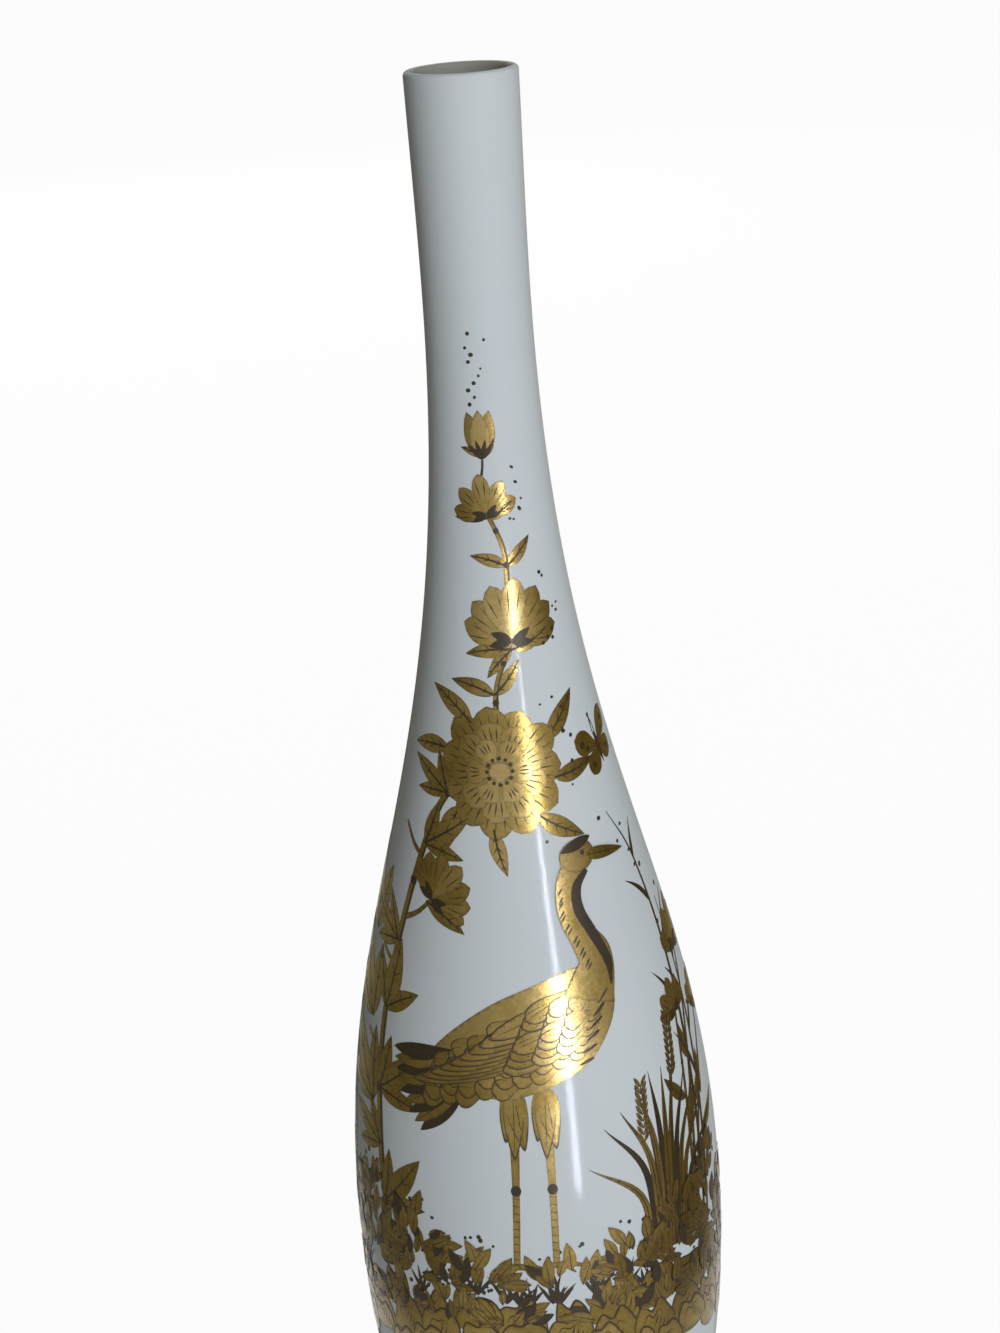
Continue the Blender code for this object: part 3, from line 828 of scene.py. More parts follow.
def draw_reeds(art, foot, height):
    """A tuft of arching blades with a few seed heads."""
    for step in range(REED_BLADES):
        lean = 2 * step / (REED_BLADES - 1) - 1
        run = REED_SPREAD * lean
        rise = height * (1 - 0.42 * abs(lean) ** 1.4) * art.chance.uniform(0.82, 1.04)
        base = foot + Vector((0.42 * run, 0.0))
        path = [base, base + Vector((0.22 * run, 0.62 * rise)), base + Vector((1.15 * run, rise))]
        mark = art.shade if step % 3 == 1 else art.gold
        mark(stroke(path, 1.1, 2.0, 1.3, 0.1, steps=8), 1.2 * (step % 4))
        art.line(stroke(path, 0.1, 0.25, 0.05), 6.0)
    for lean, part in ((-0.5, 0.86), (0.28, 1.12)):
        run = REED_SPREAD * lean
        base = foot + Vector((0.25 * run, 0.0))
        tip = base + Vector((0.75 * run, height * part))
        art.line(dash(base, tip, 0.5, 0.4, 0.3, sag=(-0.08 * run, 0.0), steps=6), 5.0)
        for seed in range(9):
            for way in (-1, 1):
                grain = blade(tip - up(1.5 * seed), 90 - way * 34, 3.0, 0.95, 0.5, 0.9)
                art.gold(grain, 7.0 + 0.6 * (seed % 2), 0.55)


def draw_butterfly(art, centre, span, degrees):
    """A butterfly with spotted wings."""
    level = MOTIF_LEVEL
    for way in (-1, 1):
        hind, fore = degrees + way * 128, degrees + way * 56
        art.gold(blade(centre, hind, 0.80 * span, 0.62 * span, 0.62, 0.6, 0.05 * way, 12), level, 0.35)
        art.gold(blade(centre, fore, 1.06 * span, 0.66 * span, 0.66, 0.62, -0.1 * way, 12), level + 2, 0.6)
        for turn, reach, size in ((fore, 0.74, 0.10), (fore + 11 * way, 0.52, 0.07), (hind, 0.54, 0.09)):
            art.line(dot(midline(centre, turn, span, 0.0, reach)[0], size * span), level + 4)
        for turn in (fore - 9, fore + 9, hind):
            rib = midline(centre, turn, span, 0.0, 0.12, 0.4, 0.66)
            art.line(stroke(rib, 0.22, 0.18, 0.06, steps=3), level + 3.4)
        feeler = midline(centre, degrees + way * 14, span, -0.3 * way, 0.3, 0.6, 0.95)
        art.line(stroke(feeler, 0.2, 0.18, 0.3, steps=4), level + 4)
    tail, = midline(centre, degrees + 180, span, 0.0, 0.55)
    art.shade(blade(tail, degrees, 0.95 * span, 0.17 * span, 0.6, 0.7), level + 5)


# The bird, facing right with its feet at the origin, in hundredths of its height

CRANE_BODY = ((14.8, 67.0), (14.2, 59.0), (8.0, 50.5), (-1.5, 45.8), (-12.0, 43.4), (-21.0, 44.6),
              (-29.0, 48.0), (-31.5, 52.0), (-26.0, 57.8), (-15.0, 65.0), (-4.0, 69.3), (5.0, 71.8),
              (11.0, 72.0))
CRANE_NECK = ((8.6, 64.0), (10.8, 72.5), (8.3, 78.0), (5.2, 84.0), (4.8, 90.0), (7.0, 95.5))
CRANE_NECK_WIDTHS = (13.0, 9.0, 6.8, 5.6, 5.4, 5.0)
CRANE_THROAT = ((10.0, 93.0), (7.2, 89.5), (7.4, 84.5), (10.6, 78.5), (13.9, 72.0), (14.4, 66.5))
CRANE_THROAT_WIDTHS = (1.2, 2.4, 2.6, 2.4, 2.2, 0.4)
CRANE_HEAD, CRANE_BILL, CRANE_CAP = (8.0, 96.4), (10.4, 96.2), (3.6, 97.6)
CRANE_GAPE = ((11.0, 96.1), (16.0, 95.7), (21.5, 95.1))
CRANE_EYE, CRANE_PUPIL = (9.2, 96.9), (9.3, 96.9)
CRANE_LEGS = (((-11.0, 46.0), (-11.9, 21.5), (-12.9, 2.6)), ((-3.6, 46.0), (-3.4, 21.5), (-3.6, 2.6)))
CRANE_TOES = ((8.6, -1.9), (-3.4, -1.7), (4.4, -2.4))
LEG_LEVEL, TAIL_LEVEL, BODY_LEVEL, SHINGLE_LEVEL, QUILL_LEVEL = 1.0, 2.5, 9.5, 10.5, 25.0
COVERT_LEVEL, NECK_LEVEL = 39.0, 50.0


class Bird:
    """Places the bird's own units on the sheet."""

    def __init__(self, art, foot, scale):
        self.art = art
        self.foot = Vector(foot)
        self.scale = scale

    def at(self, point):
        return self.foot + Vector(point) * self.scale

    def path(self, points):
        return [self.at(point) for point in points]

    def widths(self, *widths):
        return [width * self.scale for width in widths]

    def blade(self, base, degrees, size, width, *shape):
        return blade(self.at(base), degrees, size * self.scale, width * self.scale, *shape)

    def feather(self, base, degrees, size, width, level, tone, peak, power, bend=0.0, quill=True):
        """A feather with a dark edge round its tip, and its quill."""
        outline = self.blade(base, degrees, size, width, peak, power, bend, 10)
        self.art.gold(outline, level, tone)
        self.art.line(stroke(outline[4:17], 0.06, 0.22, 0.30, 0.22, 0.06, steps=2), level + 0.7)
        if quill:
            rib = midline(self.at(base), degrees, size * self.scale, bend, 0.15, 0.55, 0.9)
            self.art.line(stroke(rib, 0.10, 0.22, 0.06, steps=3), level + 0.7)


def draw_crane_legs(bird):
    art, scale = bird.art, bird.scale
    for rank, leg in enumerate(CRANE_LEGS):
        level = LEG_LEVEL + 4.0 * rank
        path = bird.path(leg)
        knee, ankle = path[1:]
        art.gold(stroke(path, *bird.widths(2.7, 1.7, 1.6), steps=10), level, 0.4)
        art.shade(dot(knee, 1.4 * scale, 0.9, 10), level + 0.8)
        for step, turn in enumerate((-9, 9, 0)):
            size, rise = 13.0 + 2.0 * step, 1.0 + 0.8 * step
            bird.feather(leg[0], 268 + turn, size, 5.0, level + rise, 0.35, 0.30, 0.8)
        for ring in range(9):
            part = knee.lerp(ankle, (ring + 1) / 10)
            half = Vector((0.8, -0.15)) * scale
            art.line(stroke([part - half, part + half], 0.16, 0.16, steps=2), level + 1)
        for toe in CRANE_TOES:
            tip = ankle + Vector(toe) * scale
            joint = ankle.lerp(tip, 0.5) + up(0.7) * scale
            art.gold(stroke([ankle, joint, tip], 1.7 * scale, 1.3 * scale, 0.3, steps=4), level + 0.2, 0.35)


def draw_crane_tail(bird):
    for step in range(9):
        part = step / 8
        base, turn, bend = (-22.0 - 3.0 * part, 46.5 + 8.0 * part), 232 - 36 * part, -0.16
        size, level = 19.5 - 3.5 * abs(part - 0.45), TAIL_LEVEL + 0.9 * step
        outline = bird.blade(base, turn, size, 4.0, 0.55, 0.8, bend, 12)
        if step % 2:
            bird.art.gold(outline, level, 0.3)
        else:
            bird.art.shade(outline, level)
        rib = midline(bird.at(base), turn, size * bird.scale, bend, 0.1, 0.5, 0.92)
        bird.art.line(stroke(rib, 0.14, 0.3, 0.06, steps=3), level + 0.6)


def draw_crane_plumage(bird):
    """Body, small shingled feathers over it, and the folded wing."""
    bird.art.gold(closed_curve(bird.path(CRANE_BODY)), BODY_LEVEL, 0.5)
    for row in range(9):
        along = row / 8
        half = 3.6 + 5.6 * math.sin(math.pi * (0.15 + 0.7 * along))
        for step in range(6):
            across = (step - 2.5 + 0.5 * (row % 2)) / 2.6
            base = (-25.0 + 36.0 * along + 1.6 * across, 49.0 + 10.5 * along + half * across * 0.86)
            level = SHINGLE_LEVEL + 1.5 * row + 0.75 * (step % 2)
            bird.feather(base, 203 + 12 * across, 7.4, 5.0, level, 0.30 + 0.3 * along, 0.7, 0.5, quill=False)
    for quill in range(9):
        part = quill / 8
        bird.feather((0.5 + 3.0 * part, 55.0 + 11.0 * part), 196 + 11 * part, 38.0 - 17.0 * part, 4.4,
                     QUILL_LEVEL + 1.5 * quill, 0.22 + 0.3 * part, 0.55, 0.6, -0.05)
    for row, (size, count) in enumerate(((17.0, 8), (12.0, 7), (8.0, 6))):
        for step in range(count):
            part = step / (count - 1)
            base = (3.4 + 2.0 * row + 1.6 * part, 54.8 + 0.7 * row + (13.0 - 1.6 * row) * part)
            bird.feather(base, 196 + 12 * part, size * (1 - 0.2 * part), 4.6 - 0.3 * row,
                         COVERT_LEVEL + 3.4 * row + 0.8 * (step % 4), 0.35 + 0.2 * row, 0.7, 0.5,
                         quill=row == 0)


def draw_crane_head(bird):
    art, scale, level = bird.art, bird.scale, NECK_LEVEL
    art.gold(stroke(bird.path(CRANE_NECK), *bird.widths(*CRANE_NECK_WIDTHS), steps=8), level, 0.62)
    art.gold(dot(bird.at(CRANE_HEAD), 3.7 * scale, 1.22, 18), level + 1.5, 0.6)
    art.gold(bird.blade(CRANE_BILL, -6, 12.0, 2.9, 0.3, 0.8, 0.0, 10), level + 2, 0.4)
    art.line(stroke(bird.path(CRANE_GAPE), 0.2, 0.22, 0.06), level + 4.5)
    art.shade(stroke(bird.path(CRANE_THROAT), *bird.widths(*CRANE_THROAT_WIDTHS)), level + 2.8)
    art.shade(bird.blade(CRANE_CAP, 17, 8.6, 2.6, 0.55, 0.7), level + 3)
    art.gold(dot(bird.at(CRANE_EYE), 1.05 * scale, steps=12), level + 4, 0.95)
    art.line(dot(bird.at(CRANE_PUPIL), 0.62 * scale), level + 5.5)
    nape = smooth_path(CRANE_NECK[1:5])
    for step in range(13):
        place = point_at(nape, step / 12) + Vector((-1.2, 0.0))
        art.line(bird.blade(place, 236, 2.3, 0.5, 0.4, 0.8), level + 1.6)
    for step in range(6):
        place = (13.2 - 0.9 * step, 66.0 - 3.0 * step)
        art.line(bird.blade(place, 228 - 6 * step, 4.2, 0.55, 0.4, 0.8), level + 2)


class VASE_OT_crane(VaseStep, bpy.types.Operator):
    """Gild the standing bird"""

    bl_idname = "vase.crane"
    bl_label = "Crane"

    def build(self):
        low, high = node_low("gilt_crane"), node_high("gilt_crane")
        art = Drawing(3)
        foot = (settings().gilding.crane_girth / MM, low.z / MM)
        bird = Bird(art, foot, (high.z - low.z) / MM / 100)
        draw_crane_legs(bird)
        draw_crane_tail(bird)
        draw_crane_plumage(bird)
        draw_crane_head(bird)
        gild(art, "gilt_crane")


# The flowering stem, as shares of its girth and rise like the solid under it

STEM_GIRTH = -39.5
STEM_COURSE = ((0.97, 0.0), (1.02, 0.25), (0.96, 0.5), (0.74, 0.75))
# Share of the stem, run and rise of each short shoot
STEM_SHOOTS = ((0.36, -6.0, 4.0), (0.52, -5.5, 4.5), (0.60, 9.5, 5.5), (0.70, -5.0, 6.0))
# Share of the stem, lean and size of each leaf
STEM_LEAVES = ((0.10, 40, 17), (0.20, 150, 15), (0.30, 28, 18), (0.44, 62, 17), (0.58, 148, 14),
               (0.72, 24, 14), (0.84, 140, 12))
LEAF_LEAN = {"gilt_leaf_low": 122, "gilt_leaf_middle": 112, "gilt_leaf_high": 100}
# Direction, reach in radii and size of each leaf behind the large flower
RUFF_LEAVES = ((-142, 0.92, 13), (-52, 0.95, 12), (-12, 0.95, 11), (28, 0.92, 12), (158, 0.95, 11),
               (118, 0.9, 12), (-100, 0.95, 10))
FLOWERS = ("large", "middle", "small")
TWIG_SWAY = 0.084
NECK_DOT = 0.42


def stem_points():
    """Course of the tall stem, from the bank to under the large flower."""
    foot, head = node_low("gilt_stem").z / MM, node_high("gilt_stem").z / MM
    flower, radius = sheet_place("gilt_blossom_large")
    course = [(STEM_GIRTH * reach, foot + part * (head - foot)) for reach, part in STEM_COURSE]
    return course + [(flower.x - radius - 1.6, head), (flower.x - 0.4 * radius, flower.y - 0.1 * radius)]


class VASE_OT_flowering_stem(VaseStep, bpy.types.Operator):
    """Gild the tall stem and the stalks on the neck"""

    bl_idname = "vase.flowering_stem"
    bl_label = "Flowering stem"

    def build(self):
        art = Drawing(11)
        points = stem_points()
        draw_stem(art, points, 2.5, 1.3)
        path = smooth_path(points, 10)
        for part, run, rise in STEM_SHOOTS:
            start = point_at(path, part)
            tip = start + Vector((run, rise))
            art.gold(dash(start, tip, 1.3, 1.0, 0.8, sag=(0.0, -0.8), steps=5), 0.4, 0.3)
        gild(art, "gilt_stem")
        heads = [sheet_place("gilt_blossom_" + size) for size in FLOWERS]
        for name, (start, radius), (end, _) in zip(("low", "high"), heads, heads[1:]):
            art = Drawing(13)
            foot, head = start + up(0.7 * radius), end - up(0.45 * radius)
            way = 1 if end.x > start.x else -1
            sway = Vector((TWIG_SWAY * way * (foot.y - head.y), 0.0))
            draw_stem(art, [foot, (foot + head) / 2 + sway, head], 1.3, 1.0)
            gild(art, "gilt_twig_" + name, name=name + "_twig_gilding")


class VASE_OT_blossoms(VaseStep, bpy.types.Operator):
    """Gild the flower heads of the tall stem"""

    bl_idname = "vase.blossoms"
    bl_label = "Blossoms"

    def build(self):
        centre, radius = sheet_place("gilt_blossom_large")
        art = Drawing(21)
        draw_full_peony(art, centre, radius * 1.02)
        gild(art, "gilt_blossom_large", name="large_blossom_gilding")
        for seed, size, drop, degrees, part, petals in ((22, "middle", 0.75, 84, 1.0, 7),
                                                        (23, "small", 0.8, 98, 0.95, 5)):
            centre, radius = sheet_place("gilt_blossom_" + size)
            art = Drawing(seed)
            draw_side_peony(art, centre - up(drop * radius), degrees, part * radius, petals=petals)
            gild(art, "gilt_blossom_" + size, name=size + "_blossom_gilding")
        centre, half = sheet_place("gilt_bud")
        art = Drawing(24)
        base = centre - up(half)
        art.line(stroke([base - Vector((0.4, 3.4)), base - Vector((0.1, 1.5)), base], 0.6, 0.5, 0.5), 1.0)
        draw_bud(art, base, 92, 2 * half, 5.4)
        gild(art, "gilt_bud")


def draw_side_blossom(art, stem):
    """The flower on a side shoot between the stem and the bird's back."""
    start = point_at(stem, 0.60) + Vector((9.0, 5.2))
    draw_side_peony(art, start, 42, 6.4)
    draw_leaf(art, start + Vector((-1.5, -0.5)), -24, 11.0, 4.0, -0.15, 1.0, 0.4)


class VASE_OT_leaves(VaseStep, bpy.types.Operator):
    """Gild the leaves of the tall stem and of the flowers on the neck"""

    bl_idname = "vase.leaves"
    bl_label = "Leaves"

    def build(self):
        for seed, (node, degrees) in enumerate(LEAF_LEAN.items()):
            centre, half = sheet_place(node)
            size = 2.05 * half / math.sin(math.radians(degrees))
            art = Drawing(31 + seed)
            draw_peony_leaf(art, centre - direction(degrees) * size / 2, degrees, size * 1.05, 1.0, 0.45)
            gild(art, node)
        stem = smooth_path(stem_points(), 10)
        art = Drawing(36)
        for part, degrees, size in STEM_LEAVES:
            draw_peony_leaf(art, point_at(stem, part), degrees, size, 2.0, 0.4)
        draw_side_blossom(art, stem)
        lay("inner_leaves_gilding", art)
        self.lay_neck_leaves()

    def lay_neck_leaves(self):
        """Leaves round the flowers on the neck, and loose dots among them."""
        heads = [sheet_place("gilt_blossom_" + size) for size in FLOWERS]
        (large, radius), (middle, middle_radius), (small, small_radius) = heads
        bud, half = sheet_place("gilt_bud")
        art = Drawing(38)
        for degrees, reach, size in RUFF_LEAVES:
            base = large + reach * radius * direction(degrees)
            draw_leaf(art, base, degrees + 14, size, size * 0.36, 0.16, 0.4, 0.42)
        for flower, rise, leaves in (
                (large, radius * 1.25, ((150, 10), (40, 9))),
                (middle, -middle_radius * 0.95, ((172, 10), (12, 9), (214, 8))),
                (middle, middle_radius * 1.3, ((150, 8), (36, 8))),
                (small, -small_radius * 0.9, ((166, 7), (20, 7))),
                (bud, -half * 0.9, ((142, 5), (44, 5)))):
            for degrees, size in leaves:
                draw_leaf(art, flower + up(rise), degrees, size, size * 0.36, 0.2, 0.6, 0.42, veins=3)
        lay("neck_leaves_gilding", art)
        art = Drawing(39)
        top = bud + up(half)
        trail = [top + Vector((art.chance.uniform(-3.2, 3.2), 1.2 + 1.5 * step)) for step in range(11)]
        draw_dots(art, trail, NECK_DOT)
        for flower, reach in heads:
            for _ in range(9):
                turn = art.chance.uniform(-60, 60)
                far = reach * art.chance.uniform(1.25, 1.5)
                draw_dots(art, [flower + far * direction(turn)], NECK_DOT)
        lay("neck_dots_gilding", art)


# Plants on the bank, in millimetres

# Run, rise, lean and radius of each iris from its root, and the root's step from the reeds
IRISES = ((5.0, 62.0, 84, 6.2), (12.0, 47.0, 62, 5.0), (-1.0, 50.0, 108, 4.6))
IRIS_STEP = 9.0
# Courses of the tall grass from its root, and the root's step from the reeds
TALL_GRASS = (((0.0, 0.0), (-1.0, 34.0), (-5.0, 62.0), (-13.0, 84.0), (-21.5, 96.0)),
              ((1.5, 0.0), (2.0, 30.0), (0.0, 54.0), (-5.5, 74.0)))
GRASS_STEP = 13.0
# Share of the grass, side and size of each side blade
GRASS_BLADES = ((0.40, 1, 15.0), (0.52, -1, 13.0), (0.64, 1, 11.0), (0.76, -1, 8.0))
# Girth, half width and height of each clump of leaves
FRONT_SHRUBS = ((-63.0, 9.0, 11.0), (-46.0, 11.0, 21.0), (-31.0, 10.0, 15.0), (-17.0, 9.0, 8.0),
                (5.0, 10.0, 4.5), (21.0, 8.0, 9.0), (34.0, 9.0, 16.0), (47.0, 9.0, 20.0), (61.0, 9.0, 10.0))
BACK_SHRUBS = ((-44.0, 9.0, 8.0), (-28.0, 10.0, 13.0), (-10.0, 9.0, 16.0), (9.0, 9.0, 12.0),
               (27.0, 10.0, 15.0), (43.0, 9.0, 9.0))
SHRUB_LEVEL = 14.0


def tuft_root(node, step=0.0):
    """Root of a tuft on the sheet: the middle of its lowest points, moved sideways by a step."""
    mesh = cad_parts[node].data
    lowest = min(vert.co.z for vert in mesh.vertices)
    azimuths = [math.atan2(vert.co.x, -vert.co.y) for vert in mesh.vertices if vert.co.z < lowest + MM]
    girth = (min(azimuths) + max(azimuths)) / 2 * WallTable().radius(lowest)
    return Vector((girth / MM + step, node_low(node).z / MM))


class VASE_OT_reeds(VaseStep, bpy.types.Operator):
    """Gild the tufts on the bank and the iris among them"""

    bl_idname = "vase.reeds"
    bl_label = "Reeds"

    def build(self):
        for seed, node in enumerate(("gilt_reeds_right", "gilt_reeds_left")):
            art = Drawing(41 + seed)
            draw_reeds(art, tuft_root(node), 2 * sheet_place(node)[1])
            gild(art, node)
        art = Drawing(44)
        foot = tuft_root("gilt_reeds_right", IRIS_STEP)
        for run, rise, degrees, radius in IRISES:
            head = foot + Vector((run, rise))
            bow = (foot + head) / 2 + Vector((-0.12 * run, 2.0))
            draw_stem(art, [foot, bow, head], 1.3, 0.8)
            draw_side_peony(art, head, degrees, radius, 3.0, petals=5)
            draw_leaf(art, foot.lerp(head, 0.45), degrees - 40, 12.0, 3.2, 0.2, 1.0, 0.4)
            draw_leaf(art, foot.lerp(head, 0.62), degrees + 42, 10.0, 3.0, -0.2, 1.0, 0.4)
        lay("iris_gilding", art)
        self.lay_tall_grass()

    def lay_tall_grass(self):
        """Thin grass that arches over the shoulder, with side blades and loose seeds."""
        art = Drawing(46)
        foot = tuft_root("gilt_reeds_right", GRASS_STEP)
        for course in TALL_GRASS:
            points = [foot + Vector(step) for step in course]
            art.shade(stroke(points, 1.0, 1.1, 0.9, 0.5, 0.12, steps=8), 2.0)
            path = smooth_path(points, 8)
            for part, way, size in GRASS_BLADES:
                index = int(part * (len(path) - 1))
                ahead = math.degrees(math.atan2(*(path[index + 1] - path[index]).yx))
                art.shade(blade(path[index], ahead + 16 * way, size, 1.1, 0.35, 0.9, 0.30 * way, 12), 2.6)
            for index in range(len(path) // 2, len(path), 2):
                drift = Vector((art.chance.uniform(-3.4, 3.4), art.chance.uniform(-2.0, 3.0)))
                draw_dots(art, [path[index] + drift], 0.5)
        lay("tall_grass_gilding", art)


def draw_shrub(art, foot, spread, height):
    """A clump of small pointed leaves, dark at the foot, with berries round it."""
    for step in range(int(0.62 * spread * height ** 0.8)):
        across = art.chance.uniform(-1.0, 1.0)
        rise = height * (1 - across * across) * art.chance.uniform(0.0, 1.0) ** 0.8
        base = foot + Vector((spread * across, rise))
        degrees = 90 - 62 * across + art.chance.uniform(-38, 38)
        size = art.chance.uniform(3.6, 7.0)
        level = SHRUB_LEVEL + 0.75 * (step % 14)
        outline = blade(base, degrees, size, size * 0.42, 0.45, 0.85, art.chance.uniform(-0.2, 0.2), 8)
        if step % 5:
            art.gold(outline, level, 0.06 + 0.34 * rise / height)
        else:
            art.shade(outline, level)
        rib = midline(base, degrees, size, 0.0, 0.0, 0.4, 0.8)
        art.line(stroke(rib, 0.3, 0.22, 0.08, steps=2), level + 0.6)
    berries = []
    for _ in range(7):
        across = art.chance.uniform(-0.9, 0.9)
        rise = height * (1 - across * across) + art.chance.uniform(2.5, 6.0)
        berries.append(foot + Vector((spread * across, rise)))
    draw_dots(art, berries, 0.5, 2.0)


class VASE_OT_shrubs(VaseStep, bpy.types.Operator):
    """Gild the clumps of leaves along the bank"""

    bl_idname = "vase.shrubs"
    bl_label = "Shrubs"

    def build(self):
        for name, side, shrubs in (("front", FRONT, FRONT_SHRUBS), ("back", BACK, BACK_SHRUBS)):
            art = Drawing(81)
            ground = node_high("gilt_bank_" + name).z / MM - 1.5
            for girth, spread, height in shrubs:
                draw_shrub(art, Vector((girth, ground)), spread, height)
                draw_shrub(art, Vector((girth + 0.9 * spread, ground - 9.0)), 0.7 * spread, 6.0)
            lay(name + "_shrubs_gilding", art, side)


class VASE_OT_butterflies(VaseStep, bpy.types.Operator):
    """Gild the butterflies"""

    bl_idname = "vase.butterflies"
    bl_label = "Butterflies"

    def build(self):
        for node, side, degrees in (("gilt_butterfly_front", FRONT, 112), ("gilt_butterfly_back", BACK, 74)):
            centre, half = sheet_place(node, side)
            art = Drawing(51)
            draw_butterfly(art, centre, half * 1.1, degrees)
            gild(art, node, side)


# The bank of rocks

# Depth, size and tone of each row of rocks, and the outline of one
ROCK_ROWS = ((0.0, 8.5, 0.10), (0.34, 7.6, 0.24), (0.64, 6.4, 0.40))
ROCK_CREST = ((-0.62, -0.25), (-0.60, 0.30), (-0.42, 0.86), (-0.10, 0.76), (0.14, 1.0), (0.44, 0.74),
              (0.62, 0.22), (0.60, -0.28), (0.2, -0.5), (-0.25, -0.5))


def draw_rock(art, foot, wide, high, level, tone):
    """A craggy rock with a dark crest, a fold inside it and a hatched flank."""
    points = []
    for x, y in ROCK_CREST:
        run = wide * x * art.chance.uniform(0.88, 1.12)
        points.append(foot + Vector((run, high * y * art.chance.uniform(0.86, 1.14))))
    art.gold(closed_curve(points, 4), level, tone)
    art.line(stroke(points[:8], 0.1, 0.35, 0.5, 0.4, 0.1, steps=4), level + 0.6)
    fold = [foot + 0.6 * (point - foot) for point in points[1:6]]
    art.line(stroke(fold, 0.06, 0.3, 0.35, 0.2, 0.06, steps=4), level + 0.6)
    for step in range(5):
        start = foot + Vector((wide * (0.06 + 0.11 * step), high * (0.52 - 0.12 * step)))
        tip = start + Vector((-0.12 * wide, -0.46 * high))
        art.line(dash(start, tip, 0.10, 0.40, 0.08, sag=(0.3, 0.0), steps=3), level + 0.6)


def draw_bank(art, half_girth, top, depth):
    """Rocks in overlapping rows, with grass and moss dots along their crest."""
    for row, (part, size, tone) in enumerate(ROCK_ROWS):
        count = int(2 * half_girth / (size * 1.25))
        for step in range(count + 1):
            girth = -half_girth + 2 * half_girth * (step + 0.5 * (row % 2)) / count
            if abs(girth) > half_girth:
                continue
            wide = size * art.chance.uniform(0.8, 1.25)
            high = size * art.chance.uniform(0.65, 1.05)
            crest = top - depth * part - art.chance.uniform(0.0, 0.22) * depth
            level = 1.0 + 4.0 * row + 1.4 * (step % 2)
            draw_rock(art, Vector((girth, crest - high)), wide, high, level, tone)
    for step in range(int(half_girth / 2.6)):
        girth = art.chance.uniform(-0.98, 0.98) * half_girth
        foot = Vector((girth, top - 3.2 - art.chance.uniform(0.0, 2.5)))
        for turn in (-34, -14, 6, 26):
            size = art.chance.uniform(4.0, 8.0)
            art.shade(blade(foot, 90 + turn, size, 0.85, 0.4, 0.9, 0.004 * turn), 0.2 + 0.01 * step)
    moss = []
    for _ in range(int(half_girth * 0.7)):
        girth = art.chance.uniform(-1, 1) * half_girth
        moss.append(Vector((girth, top + art.chance.uniform(-2.0, 3.2))))
    draw_dots(art, moss, 0.48, 0.4)


class VASE_OT_rock_bank(VaseStep, bpy.types.Operator):
    """Gild the bank of rocks round the belly"""

    bl_idname = "vase.rock_bank"
    bl_label = "Rock bank"

    def build(self):
        banks = (("gilt_bank_front", FRONT, 100), ("gilt_bank_back", BACK, 78))
        for seed, (node, side, reach) in enumerate(banks):
            low, high = node_low(node).z, node_high(node).z
            art = Drawing(61 + seed)
            radius = WallTable().radius((low + high) / 2) / MM
            draw_bank(art, math.radians(reach) * radius, high / MM, (high - low) / MM)
            gild(art, node, side)


class VASE_OT_back_spray(VaseStep, bpy.types.Operator):
    """Gild the flower on the side away from the bird"""

    bl_idname = "vase.back_spray"
    bl_label = "Back spray"

    def build(self):
        stem, half = sheet_place("gilt_back_stem", BACK)
        flower, radius = sheet_place("gilt_back_blossom", BACK)
        art = Drawing(71)
        foot = stem - up(half)
        draw_stem(art, [foot, stem + Vector((1.5, 0.0)), flower - up(0.6 * radius)], 2.2, 1.2)
        gild(art, "gilt_back_stem", BACK)
        self.lay_side_shoots(stem, half)
        art = Drawing(72)
        draw_full_peony(art, flower, radius * 1.02, tilt=12)
        gild(art, "gilt_back_blossom", BACK)
        for way, node in ((-1, "gilt_back_leaf_left"), (1, "gilt_back_leaf_right")):
            art = Drawing(74 + way)
            base = foot + Vector((1.2 * way, 0.7 * half))
            draw_peony_leaf(art, base, 90 - 52 * way, 25.0, 1.0, 0.45)
            draw_peony_leaf(art, base + up(12.0), 90 - 40 * way, 15.0, 2.0, 0.45)
            gild(art, node, BACK)

    def lay_side_shoots(self, stem, half):
        """Two shoots with half-open flowers, and loose dots above them."""
        art = Drawing(77)
        for way, rise, radius, petals in ((-1, 34.0, 6.0, 7), (1, 26.0, 5.2, 5)):
            foot = stem + Vector((0.6 * way, 0.1 * half))
            head = foot + Vector((21.0 * way, rise))
            draw_stem(art, [foot, foot + Vector((12.0 * way, 0.42 * rise)), head], 1.3, 0.9)
            draw_side_peony(art, head, 90 - 18 * way, radius, 3.0, petals)
            for part, turn in ((0.55, 44), (0.75, -38), (0.92, 60)):
                base = foot.lerp(head, part) + Vector((1.5 * way, 0.0))
                draw_leaf(art, base, 90 - way * turn, 9.0, 3.2, 0.15 * way, 1.0, 0.42, veins=3)
        places = []
        for _ in range(18):
            run = art.chance.uniform(-16, 16)
            places.append(stem + Vector((run, half + art.chance.uniform(22, 44))))
        draw_dots(art, places, 0.45)
        lay("back_shoots_gilding", art, BACK)


# Stage

SENSOR = 36.0
FLOOR_SIZE = 12.0
SOFT_SIZE = (0.9, 1.3)
# Lamps: name, size, setting of the power, colour, place as for around, height aimed at, and rays that miss it
LAMPS = (
    ("soft_key", SOFT_SIZE, "key_power", (0.985, 1.015, 1.075), (18, 2.2, 0.85), 0.17, "visible_glossy"),
    ("tall_strip", (0.014, 0.185), "strip_power", (0.95, 0.97, 1.15), (22, 0.22, 0.139), 0.139,
     "visible_diffuse"),
    ("back_fill", SOFT_SIZE, "fill_power", (1.0, 0.99, 0.96), (190, 2.2, 0.9), 0.17, "visible_glossy"))
